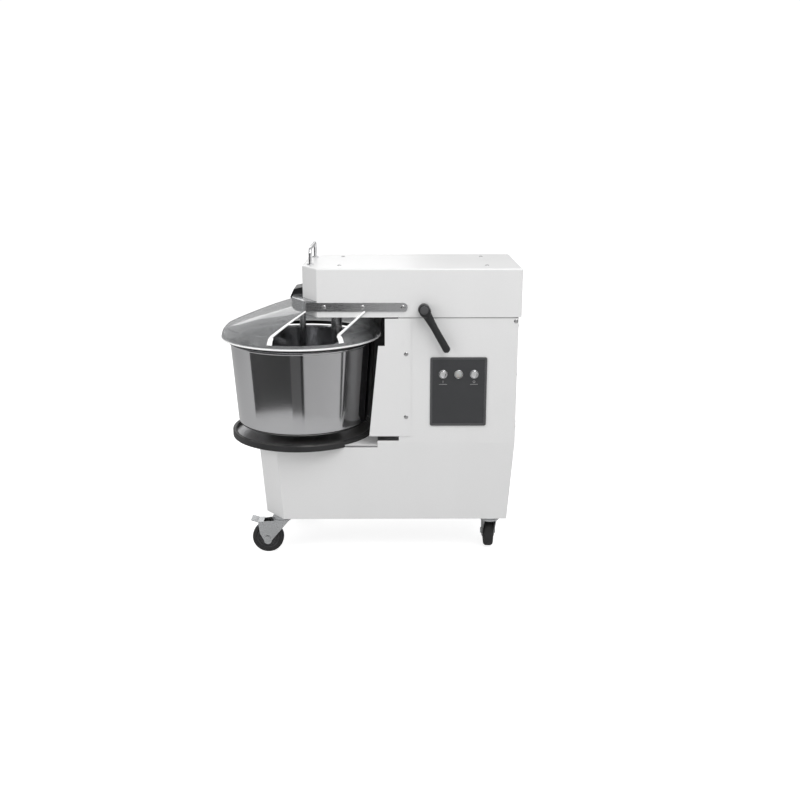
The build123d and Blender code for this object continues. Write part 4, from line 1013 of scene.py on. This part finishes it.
class MIXER_OT_seals(bpy.types.Operator):
    """Builds the black lip under the guard's flange, the rim bead with its painted glow, and a black block
    behind the bowl whose black is painted shade
    """

    bl_idname = "mixer.seals"
    bl_label = "Seal and housing"

    def execute(self, context):
        size = context.scene.mixer_guard
        shell = (GUARD_HIGH.x - GUARD_LOW.x) / 2 - size.flange_width
        low, seat = GUARD_LOW.z - SEAL_H, GUARD_LOW.z - LIP_DROP + MM
        lip = soften(
            [
                (shell - 3 * MM, seat),
                (shell + 4 * MM, seat),
                (shell + 4 * MM, seat - 2.5 * MM),
                (shell + 1.5 * MM, seat - 3.5 * MM),
                (shell + 1 * MM, low),
                (shell - MM, low),
                (shell - 1.2 * MM, seat - 4 * MM),
            ],
            0.8 * MM,
            3,
            closed=True,
        )
        origin = (BOWL_AXIS.x, BOWL_AXIS.y, 0)
        seal_parts = turned(lip, origin, segments=GUARD_FACETS, closed=True)
        seal = new_piece("guard_seal", *seal_parts, [edge_rubber()])
        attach(seal, "head")
        # The round bead on the guard's rim takes the same finish, whose emission paints a bright highlight
        # along the rim.
        thick = 3.2 * MM
        wire_r = (GUARD_HIGH.x - GUARD_LOW.x) / 2 - thick
        wire_z = GUARD_LOW.z - LIP_DROP + 2 * MM
        wire = []
        for k in range(15):
            a = 2 * pi * k / 15
            wire.append((wire_r + thick * cos(a), wire_z + thick * sin(a)))
        rim_parts = turned(wire, origin, segments=GUARD_FACETS, closed=True)
        rim = new_piece("guard_rim_edge", *rim_parts, [guard_edge_glow()], 60)
        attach(rim, "head")
        self.housing()
        return {"FINISHED"}

    def housing(self):
        """A black block on the column's front, hollowed to follow the bowl; its black is painted shade
        that stands in for the deep shade of the recess behind the bowl.
        """
        bowl_r = (BOWL_HIGH.x - BOWL_LOW.x) / 2 + 6 * MM
        guard_r = (GUARD_HIGH.x - GUARD_LOW.x) / 2 + 5 * MM
        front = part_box("column_cap")[0].x - 4 * MM
        low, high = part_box("shelf_disc")[1].z + 20 * MM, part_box("body_shell")[1].z - 6 * MM
        step = GUARD_LOW.z - 12 * MM
        near, far, steps = -30 * MM, 172 * MM, 32
        taper = bpy.context.scene.mixer_bowl.taper
        levels = [(low, bowl_r - 0.85 * taper), (step, bowl_r), (step + 4 * MM, guard_r), (high, guard_r)]
        rings = []
        for z, radius in levels:
            widths = [near + (far - near) * k / steps for k in range(steps + 1)]
            hollow = [Vector((BOWL_AXIS.x + sqrt(radius**2 - y**2), y, z)) for y in widths]
            rings.append(hollow + [Vector((front, far, z)), Vector((front, near, z))])
        housing = new_piece("bowl_back_painted_shade_block", *stacked(rings), [black_plastic()], crease=30)
        round_edges(housing, 1.5 * MM, 3)
        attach(housing, "base")


# ------------------------------------------------------------------ castors


def axle(node):
    """Level direction in which a wheel is thinnest, and half its width there."""
    middle = centre(node)
    spots = [v.co - middle for v in NODES[node].data.vertices]
    trials = [Vector((cos(radians(a)), sin(radians(a)), 0)) for a in range(180)]
    half, best = min((max(abs(spot.dot(way)) for spot in spots), k) for k, way in enumerate(trials))
    return trials[best], half


class MIXER_OT_wheels(bpy.types.Operator):
    """Builds the castor tyres and their nylon centres"""

    bl_idname = "mixer.wheels"
    bl_label = "Castor wheels"

    def execute(self, context):
        size = context.scene.mixer_wheels
        for castor in CASTORS:
            node = "castor_wheel_" + castor
            low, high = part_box(node)
            axis, half = axle(node)
            radius = (high.z - low.z) / 2
            tyre, hub = self.profiles(radius, half, radius * size.hub_share)
            body = "wheel_" + castor
            tyre_parts = turned(tyre, centre(node), axis, size.segments, closed=True)
            tyre_piece = new_piece("tyre_" + castor, *tyre_parts, [tyre_rubber()], 40)
            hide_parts(node)
            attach(tyre_piece, body)
            hub_parts = joined(
                turned(hub, centre(node), axis, size.segments, closed=True),
                *self.ribs(centre(node), axis, half, radius * size.hub_share),
            )
            hub_piece = new_piece("wheel_centre_" + castor, *hub_parts, [hub_plastic()], 35)
            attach(hub_piece, body)
        return {"FINISHED"}

    def profiles(self, radius, half, hub):
        """Closed half sections of tyre and centre, as (radius, distance along the axle)."""
        side = [
            (hub, 0.80 * half),
            (hub + 0.05 * radius, 0.90 * half),
            (0.82 * radius, 0.97 * half),
            (0.86 * radius, 0.92 * half),
            (0.90 * radius, 0.96 * half),
            (0.96 * radius, 0.80 * half),
            (0.995 * radius, 0.50 * half),
        ]
        tyre = side + [(radius, 0.0)] + [(r, -h) for r, h in reversed(side)]
        bore = 6.1 * MM
        face = [
            (bore, 0.98 * half),
            (0.26 * radius, 0.98 * half),
            (0.29 * radius, 0.72 * half),
            (0.34 * radius, 0.60 * half),
            (0.58 * radius, 0.54 * half),
            (0.63 * radius, 0.80 * half),
            (hub - 0.3 * MM, 0.80 * half),
        ]
        centre_profile = face + [(r, -h) for r, h in reversed(face)]
        return soften(tyre, 1.2 * MM, 3, closed=True), soften(centre_profile, 0.8 * MM, 3, closed=True)

    def ribs(self, origin, axis, half, hub):
        """Radial ribs on both faces of a wheel's centre."""
        parts = []
        spin = turning(axis)
        for k in range(10):
            a = 2 * pi * k / 10
            turn = spin @ Matrix.Rotation(a, 3, "Z")
            for face in (-1, 1):
                verts, faces = block(
                    (0.28 * hub * 1.4, -1.1 * MM, min(face * 0.5 * half, face * 0.74 * half)),
                    (0.86 * hub, 1.1 * MM, max(face * 0.5 * half, face * 0.74 * half)),
                )
                parts.append(([Vector(origin) + turn @ v for v in verts], faces))
        return parts


# ------------------------------------------------------------------ lock lever


class MIXER_OT_lever(bpy.types.Operator):
    """Builds the moulded lock lever as one blended shape"""

    bl_idname = "mixer.lever"
    bl_label = "Lock lever"

    def execute(self, context):
        low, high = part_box("lock_lever")
        hub_r = 18 * MM
        pivot = Vector((low.x + hub_r, 0, high.z - hub_r))
        lean = atan2(high.x - pivot.x - 11 * MM, pivot.z - low.z - 11 * MM)
        front = low.y
        above, reach = 9 * MM, 142 * MM
        down = Vector((sin(lean), 0, -cos(lean)))
        hub_h = 29.4 * MM
        outline = [(0, 0), (16 * MM, 0), (17.6 * MM, -9 * MM), (17.6 * MM, -24 * MM)]
        hub_profile = soften(outline + [(14 * MM, -hub_h), (0, -hub_h)], 4 * MM, 5)
        hub_top = pivot - down * above * 0.8
        hub = joined(
            turned(hub_profile, (pivot.x, front, pivot.z), FORWARD, 72),
            turned(hub_profile, (hub_top.x, front + MM, hub_top.z), FORWARD, 72),
        )
        stations = 30
        path, widths = [], []
        for k in range(stations + 1):
            t = k / stations
            bow = Vector((0, front + 15 * MM - 3.5 * MM * sin(pi * t) ** 2, 0))
            path.append(Vector((pivot.x, 0, pivot.z)) + bow + down * (reach + above) * t - down * above)
            neck = 16.5 - 5.8 * min(1.0, t / 0.42) ** 0.8
            grip = neck + 1.6 * max(0.0, t - 0.42)
            end = sqrt(max(0.02, 1 - max(0.0, (t - 0.93) / 0.07) ** 2))
            widths.append(grip * MM * end)
        arm = tube(path, widths, flat=0.80, segments=32, up=(0, 1, 0))
        boss = self.pin(10 * MM, 6 * MM, (pivot.x, front + 26 * MM, pivot.z))
        lever = new_piece("moulded_lock_lever", *joined(hub, arm, boss), [black_plastic()], 60)
        blend = lever.modifiers.new("blend", "REMESH")
        blend.mode = "VOXEL"
        blend.voxel_size = 1.1 * MM
        blend.use_smooth_shade = True
        even = lever.modifiers.new("even", "SMOOTH")
        even.factor = 0.5
        even.iterations = 5
        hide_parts("lock_lever")
        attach(lever, "lever")
        stud_parts = self.pin(6 * MM, 29 * MM, (pivot.x, high.y, pivot.z))
        stud = new_piece("lever_stud", *stud_parts, [shaft_steel()], 40)
        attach(stud, "lever")
        self.cap(hub_top, front)
        return {"FINISHED"}

    def pin(self, radius, run, place):
        """A round pin with softened rims, that ends at the given place."""
        profile = [(0, 0), (radius, 0), (radius, -run), (0, -run)]
        return turned(soften(profile, MM, 3), place, FORWARD, 48)

    def cap(self, place, front):
        """A dark grey knurled cap set in the hub."""
        ribs, cap_r, height = 36, 12.5 * MM, 3 * MM
        rings = []
        for share, rise in ((0.985, -0.5), (1.0, 0.45), (0.93, 0.85), (0.80, 1.0)):
            rings.append([])
            for k in range(2 * ribs):
                a = pi * k / ribs
                groove = 0.97 if k % 2 and share > 0.9 else 1.0
                r = cap_r * share * groove
                spot = (place.x + r * cos(a), front - rise * height, place.z + r * sin(a))
                rings[-1].append(Vector(spot))
        cap = new_piece("lever_cap", *stacked(rings), [panel_rim()], crease=25)
        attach(cap, "lever")


# ------------------------------------------------------------------ screws


SCREW_FACETS = 36
HEAD_GROWTH = 1.25  # dome heads are drawn larger than the plain ones of the frame


def socket_screw(low, high):
    """A dome head with a hexagon socket and a threaded shank, in the box of its CAD solid."""
    spans = high - low
    along = max(range(3), key=lambda k: abs(spans[k] - sorted(spans)[1]))
    head_r = sorted(spans)[1] / 2 * HEAD_GROWTH
    middle = (low + high) / 2
    outward = [0.0, 0.0, 0.0]
    outward[along] = 1.0 if middle[along] > (CAD_LOW[along] + CAD_HIGH[along]) / 2 else -1.0
    if along == 2:
        outward = [0.0, 0.0, 1.0]
    outward = Vector(outward)
    face = middle + outward * (spans[along] / 2)
    head_h = 3.4 * MM
    socket_r, socket_h = head_r * 0.40, 1.9 * MM
    slopes = [radians(5 + 10 * k) for k in range(7)]
    dome = [Vector((head_r * cos(a), head_h * (sin(a) - 1))) for a in slopes]
    shank_h, pitch = spans[along] - head_h, 0.8 * MM
    shank = [(head_r, -head_h)]
    if shank_h > 3 * MM:
        for k in range(int(shank_h / pitch)):
            z = -head_h - k * pitch
            shank += [(2.9 * MM, z - 0.2 * MM), (2.5 * MM, z - 0.6 * MM)]
    shank.append((0.0, -head_h - max(shank_h, 0.0)))
    spin = turning(outward)
    verts, faces = turned(dome[::-1] + shank, face, outward, SCREW_FACETS)
    crest = dome[-1]
    start = len(verts)
    for k in range(SCREW_FACETS):
        a = 2 * pi * k / SCREW_FACETS
        hexagon = socket_r * cos(pi / 6) / cos((a % (pi / 3)) - pi / 6)
        rim = (hexagon + 0.35 * MM, crest.y + 0.05 * MM)
        for r, h in (rim, (hexagon, crest.y - 0.3 * MM), (hexagon, -socket_h)):
            verts.append(face + spin @ Vector((r * cos(a), r * sin(a), h)))
    count = len(dome) + len(shank)
    bottom = len(verts)
    verts.append(face - outward * socket_h * 1.15)
    for k in range(SCREW_FACETS):
        nxt = (k + 1) % SCREW_FACETS
        a, b = start + 3 * k, start + 3 * nxt
        faces.append((k * count, nxt * count, b, a))
        faces.append((a, b, b + 1, a + 1))
        faces.append((a + 1, b + 1, b + 2, a + 2))
        faces.append((a + 2, b + 2, bottom))
    return verts, faces


class MIXER_OT_screws(bpy.types.Operator):
    """Builds the dome-head socket screws of body and head"""

    bl_idname = "mixer.screws"
    bl_label = "Screws"

    def execute(self, context):
        for node, name, body in (
            ("body_screws", "body_socket_screws", "base"),
            ("head_screws", "head_socket_screws", "head"),
        ):
            parts = [socket_screw(low, high) for low, high in islands(node)]
            screws = new_piece(name, *joined(*parts), [screw_steel()], 30)
            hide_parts(node)
            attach(screws, body)
        return {"FINISHED"}


# ------------------------------------------------------------------ controls


FITTING_FACETS = 72


class MIXER_OT_controls(bpy.types.Operator):
    """Builds push buttons, pilot lamp, bezels and the generic symbols and dashes"""

    bl_idname = "mixer.controls"
    bl_label = "Controls"

    def execute(self, context):
        self.cap("start_button", "start_button")
        self.cap("stop_button", "stop_button")
        self.cap("pilot_lamp", "base")
        self.bezels()
        self.symbols()
        return {"FINISHED"}

    def cap(self, node, body):
        """A dished push button, or the domed lens of the lamp."""
        low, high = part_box(node)
        radius, depth = (high.x - low.x) / 2, high.y - low.y
        if node == "pilot_lamp":
            front = [(0, 0), (0.45 * radius, -0.4 * MM), (0.8 * radius, -1.9 * MM)]
            front += [(0.97 * radius, -4 * MM)]
            material, slot = lamp_lens(), "lamp_lens"
        else:
            front = [(0, -1.5 * MM), (0.5 * radius, -1.2 * MM), (0.72 * radius, -0.6 * MM)]
            front += [(0.80 * radius, 0), (0.93 * radius, -0.3 * MM), (radius, -1.6 * MM)]
            material, slot = chrome(), "bright_chrome"
        profile = soften(front + [(radius, -6 * MM), (radius, -depth), (0, -depth)], 0.8 * MM, 3)
        place = (centre(node).x, low.y, centre(node).z)
        cap = new_piece(node + "_cap", *turned(profile, place, FORWARD, FITTING_FACETS), [material], 50)
        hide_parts(node)
        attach(cap, body)

    def bezels(self):
        """Rounded chrome rings round the three fittings."""
        parts = []
        for low, high in islands("button_collars"):
            radius, depth = (high.x - low.x) / 2, high.y - low.y
            hole = 11.5 * MM
            profile = [(hole, -depth), (hole, -0.6 * MM), (hole + 0.9 * MM, 0)]
            profile += [(radius - MM, -1.2 * MM), (radius, -depth)]
            profile = soften(profile, 0.7 * MM, 3, closed=True)
            middle = (low + high) / 2
            place = (middle.x, low.y, middle.z)
            parts.append(turned(profile, place, FORWARD, FITTING_FACETS, closed=True))
        bezels = new_piece("button_bezels", *joined(*parts), [chrome()], 50)
        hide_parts("button_collars")
        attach(bezels, "base")

    def symbols(self):
        """A bar and a ring under the start and stop buttons, with a dash under each, as raised print."""
        face = PLATE_LOW.y
        print_h = 0.2 * MM
        drop = 24 * MM
        start, stop = centre("start_button"), centre("stop_button")
        bar = block(
            (start.x - 0.7 * MM, face - print_h, start.z - drop - 3.5 * MM),
            (start.x + 0.7 * MM, face + 0.1 * MM, start.z - drop + 3.5 * MM),
        )
        ring_profile = [(2.6 * MM, 0.1 * MM), (2.6 * MM, -print_h)]
        ring_profile += [(3.8 * MM, -print_h), (3.8 * MM, 0.1 * MM)]
        ring = turned(ring_profile, (stop.x, face, stop.z - drop), (0, 1, 0), 48, closed=True)
        line = start.z - drop - 8 * MM
        dashes = [
            block(
                (fitting.x - 12 * MM, face - print_h, line - 0.6 * MM),
                (fitting.x + 12 * MM, face + 0.1 * MM, line + 0.6 * MM),
            )
            for fitting in (start, stop)
        ]
        symbols = new_piece("panel_symbols", *joined(bar, ring, *dashes), [panel_print()], 30)
        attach(symbols, "base")


# ------------------------------------------------------------------ carried-over CAD nodes


def dress(material, *nodes, edge=0.0, segments=2):
    """Gives CAD nodes a finish and, where edge isn't 0, small rounded edges."""
    for node in nodes:
        piece = NODES[node]
        piece.data.materials.clear()
        piece.data.materials.append(material)
        if edge:
            round_edges(piece, edge, segments)


DECK_R = 229.8 * MM  # clear of the shelf's rubber edging
DECK_END = 242.0 * MM  # where the column's front starts, from the bowl's axis
SEAM_STRIP_START = 97.5 * MM  # front end of the pale strips in the seam under the head


class MIXER_OT_sheets(bpy.types.Operator):
    """Builds the thin white deck behind the bowl and the pale strips in the seam under the head, whose
    grey is painted light on the seam's shade line
    """

    bl_idname = "mixer.sheets"
    bl_label = "Deck and seat strips"

    def execute(self, context):
        low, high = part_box("body_shell")
        half = (high.y - low.y) / 2 - 1.2 * MM
        steps, top = 40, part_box("shelf_disc")[1].z
        rings = []
        for z in (top + 0.2 * MM, top + 2 * MM):
            widths = [half * (2 * k / steps - 1) for k in range(steps + 1)]
            curve = [Vector((BOWL_AXIS.x + sqrt(DECK_R**2 - y**2), y, z)) for y in widths]
            rings.append(curve + [Vector((BOWL_AXIS.x + DECK_END, y, z)) for y in (half, -half)])
        deck = new_piece("deck_plate", *stacked(rings), [white_coat()], 30)
        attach(deck, "base")
        # Pale strips fill the seam under the head; their grey is painted light on the seam's shade line.
        strips = []
        for side in (-1, 1):
            edges = sorted((side * (half - 0.2 * MM), side * (half - 3.5 * MM)))
            start = (SEAM_STRIP_START, edges[0], high.z + 0.1 * MM)
            strips.append(block(start, (high.x - 9 * MM, edges[1], HEAD_LOW.z - 0.3 * MM)))
        seat = new_piece("head_seam_painted_light_strips", *joined(*strips), [seam_light_strip()], 30)
        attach(seat, "base")
        return {"FINISHED"}


class MIXER_OT_casings(bpy.types.Operator):
    """Finishes the white sheet casings, the panel and the straps"""

    bl_idname = "mixer.casings"
    bl_label = "Casings"

    def execute(self, context):
        dress(white_coat(), "body_shell", edge=1.6 * MM, segments=3)
        dress(white_coat(), "head_shell", edge=0.8 * MM, segments=2)
        dress(white_coat(), "side_guards", "rear_cover", edge=0.6 * MM)
        dress(strap_steel(), "guard_straps", edge=0.7 * MM, segments=3)
        dress(panel_rim(), "control_frame", edge=0.6 * MM, segments=3)
        dress(panel_face(), "control_plate")
        dress(edge_rubber(), "shelf_edging")
        dress(black_plastic(), "bar_housing", edge=0.8 * MM, segments=3)
        dress(black_plastic(), "cable_gland", edge=0.5 * MM)
        dress(black_plastic(), "control_box")
        dress(chrome(), "lift_handle")
        return {"FINISHED"}


class MIXER_OT_running_gear(bpy.types.Operator):
    """Finishes castors, shafts, pulleys, drive and hinge"""

    bl_idname = "mixer.running_gear"
    bl_label = "Running gear"

    def execute(self, context):
        dress(zinc(), *["castor_fork_" + castor for castor in CASTORS], edge=0.7 * MM)
        dress(zinc(), "brake_pedal_near", "brake_pedal_far", edge=0.4 * MM)
        dress(zinc(), "castor_stems", edge=0.6 * MM)
        dress(hook_steel(), "spiral_hook", "breaker_bar")
        dress(plate_steel(), "shelf_disc", "turntable", "floor_plate")
        dress(plate_steel(), "column_cap", "gear_shelf", "head_chassis")
        dress(shaft_steel(), "hinge_shaft", "bowl_spindle", "lower_shaft", "upper_shaft", "head_shaft")
        dress(shaft_steel(), "clutch_lower", "clutch_upper", "gas_rod", "bowl_bearings")
        dress(cast_paint(), "bowl_hub", "head_bearings", "bowl_pulley", "lower_pulley", edge=0.8 * MM)
        dress(cast_paint(), "head_pulley", "spiral_pulley", "motor", edge=0.8 * MM)
        dress(gear_alloy(), "gearbox", edge=1.2 * MM)
        dress(belt_rubber(), "bowl_belt", "head_belt")
        dress(spring_paint(), "gas_cylinder")
        return {"FINISHED"}


# ------------------------------------------------------------------ stage


BOARD_R = 1.15  # how far the boards stand from the bowl's axis
FLOOR_LIFT = 0.80
# Boards as start and end angle from the operator's side, shade, lowest and highest edge.
# Positive angles are on the column's side.
BOARDS = (
    (-80.0, -12.0, 0.11, 0.05, 1.3),
    (-12.0, 3.0, 0.22, 0.02, 1.3),
    (3.0, 7.0, 0.03, 0.01, 1.3),
    (7.0, 66.0, 0.88, 0.0, 1.3),
    (66.0, 70.0, 0.15, 0.0, 1.3),
)


def stage_surface(name, colour):
    """Plain matt material for the floor and the boards that stand round the object."""
    made = bpy.data.materials.new(name)
    made.use_nodes = True
    shader = made.node_tree.nodes["Principled BSDF"]
    shader.inputs["Base Color"].default_value = (*colour, 1.0)
    shader.inputs["Roughness"].default_value = 1.0
    shader.inputs["Specular IOR Level"].default_value = 0.0
    return made


class MIXER_OT_stage(bpy.types.Operator):
    """Sets the pale floor, soft light, reflecting boards and camera"""

    bl_idname = "mixer.stage"
    bl_label = "Stage"

    def execute(self, context):
        scene, size = context.scene, context.scene.mixer_stage
        scene.view_settings.view_transform = "Standard"
        self.floor()
        self.surround(scene, size.world)
        self.light("key", (1.0, -1.5, 3.0), (0.0, 0.0, 0.5), 2.2, size.key)
        self.light("fill", (-2.7, -1.7, 1.5), (-0.2, 0.0, 0.5), 1.8, 0.5 * size.key)
        self.light("back", (-0.6, 2.6, 2.2), (0.0, 0.0, 0.6), 1.8, 0.25 * size.key)
        for k, (start, end, shade, low, high) in enumerate(BOARDS):
            self.board(f"board_{k}", start, end, shade, low, high)
        self.camera(scene, size)
        return {"FINISHED"}

    def floor(self):
        """A pale floor that runs past every view, as white as the surround where a camera sees it."""
        reach = 60.0
        paint = stage_surface("pale_floor", (0.62, 0.62, 0.62))
        shader = paint.node_tree.nodes["Principled BSDF"]
        shader.inputs["Emission Color"].default_value = (1, 1, 1, 1)
        seen = paint.node_tree.nodes.new("ShaderNodeLightPath").outputs["Is Camera Ray"]
        paint.node_tree.links.new(
            maths(paint.node_tree, "MULTIPLY", seen, FLOOR_LIFT), shader.inputs["Emission Strength"]
        )
        corners = [(-reach, -reach, 0), (reach, -reach, 0), (reach, reach, 0), (-reach, reach, 0)]
        new_piece("floor", corners, [(0, 1, 2, 3)], [paint])

    def surround(self, scene, strength):
        """An even surround, pure white to the camera."""
        world = bpy.data.worlds.new("surround")
        world.use_nodes = True
        tree = world.node_tree
        back = tree.nodes["Background"]
        back.inputs["Color"].default_value = (1, 1, 1, 1)
        seen = tree.nodes.new("ShaderNodeLightPath").outputs["Is Camera Ray"]
        glow = maths(tree, "MULTIPLY_ADD", seen, 1.05 - strength, strength)
        tree.links.new(glow, back.inputs["Strength"])
        scene.world = world

    def light(self, name, place, target, side, power):
        """A large soft square light that points at the target."""
        lamp = bpy.data.lights.new(name, "AREA")
        lamp.shape = "SQUARE"
        lamp.size = side
        lamp.energy = power
        piece = bpy.data.objects.new(name, lamp)
        piece.location = place
        piece.rotation_mode = "QUATERNION"
        piece.rotation_quaternion = (Vector(target) - Vector(place)).to_track_quat("-Z", "Y")
        bpy.context.scene.collection.objects.link(piece)

    def board(self, name, start, end, shade, low, high):
        """An upright board bent round the bowl, which only polished surfaces see."""
        steps, verts, faces = 12, [], []
        for k in range(steps + 1):
            a = radians(start + (end - start) * k / steps)
            x, y = BOWL_AXIS.x + BOARD_R * sin(a), BOWL_AXIS.y - BOARD_R * cos(a)
            verts += [(x, y, low), (x, y, high)]
        for k in range(steps):
            faces.append((2 * k, 2 * k + 2, 2 * k + 3, 2 * k + 1))
        board = new_piece(name, verts, faces, [stage_surface(name, (shade, shade, shade))])
        board.visible_camera = False
        board.visible_diffuse = False
        board.visible_shadow = False
        board.visible_transmission = False

    def camera(self, scene, size):
        """A plain camera, with no depth of field and no shift."""
        data = bpy.data.cameras.new("camera")
        data.sensor_width = 36.0
        data.lens = size.lens
        data.clip_end = 200.0
        camera = bpy.data.objects.new("camera", data)
        camera.location = size.camera_place
        camera.rotation_euler = (pi / 2 - size.camera_pitch, 0, size.camera_turn)
        scene.collection.objects.link(camera)
        scene.camera = camera


# ------------------------------------------------------------------ panel and registration

OPERATORS = (
    MIXER_OT_bowl,
    MIXER_OT_guard,
    MIXER_OT_seals,
    MIXER_OT_wheels,
    MIXER_OT_lever,
    MIXER_OT_screws,
    MIXER_OT_controls,
    MIXER_OT_sheets,
    MIXER_OT_casings,
    MIXER_OT_running_gear,
    MIXER_OT_stage,
)


class MIXER_PT_parts(bpy.types.Panel):
    """Lists the steps that build the mixer and the settings that they read"""

    bl_label = "Spiral mixer"
    bl_idname = "MIXER_PT_parts"
    bl_space_type = "VIEW_3D"
    bl_region_type = "UI"
    bl_category = "Mixer"

    def draw(self, context):
        for step in OPERATORS:
            self.layout.operator(step.bl_idname)
        for name, group in SETTINGS.items():
            box = self.layout.box()
            for key in group.__annotations__:
                box.prop(getattr(context.scene, name), key)


def register():
    """Registers settings, steps and the panel."""
    for name, group in SETTINGS.items():
        bpy.utils.register_class(group)
        setattr(bpy.types.Scene, name, PointerProperty(type=group))
    for step in (*OPERATORS, MIXER_PT_parts):
        bpy.utils.register_class(step)


def unregister():
    """Takes them away again."""
    for step in reversed((*OPERATORS, MIXER_PT_parts)):
        bpy.utils.unregister_class(step)
    for name, group in SETTINGS.items():
        delattr(bpy.types.Scene, name)
        bpy.utils.unregister_class(group)


def main():
    """Builds every piece in order."""
    register()
    for step in OPERATORS:
        family, name = step.bl_idname.split(".")
        getattr(getattr(bpy.ops, family), name)()
    bpy.context.view_layer.update()


if __name__ == "__main__":
    main()
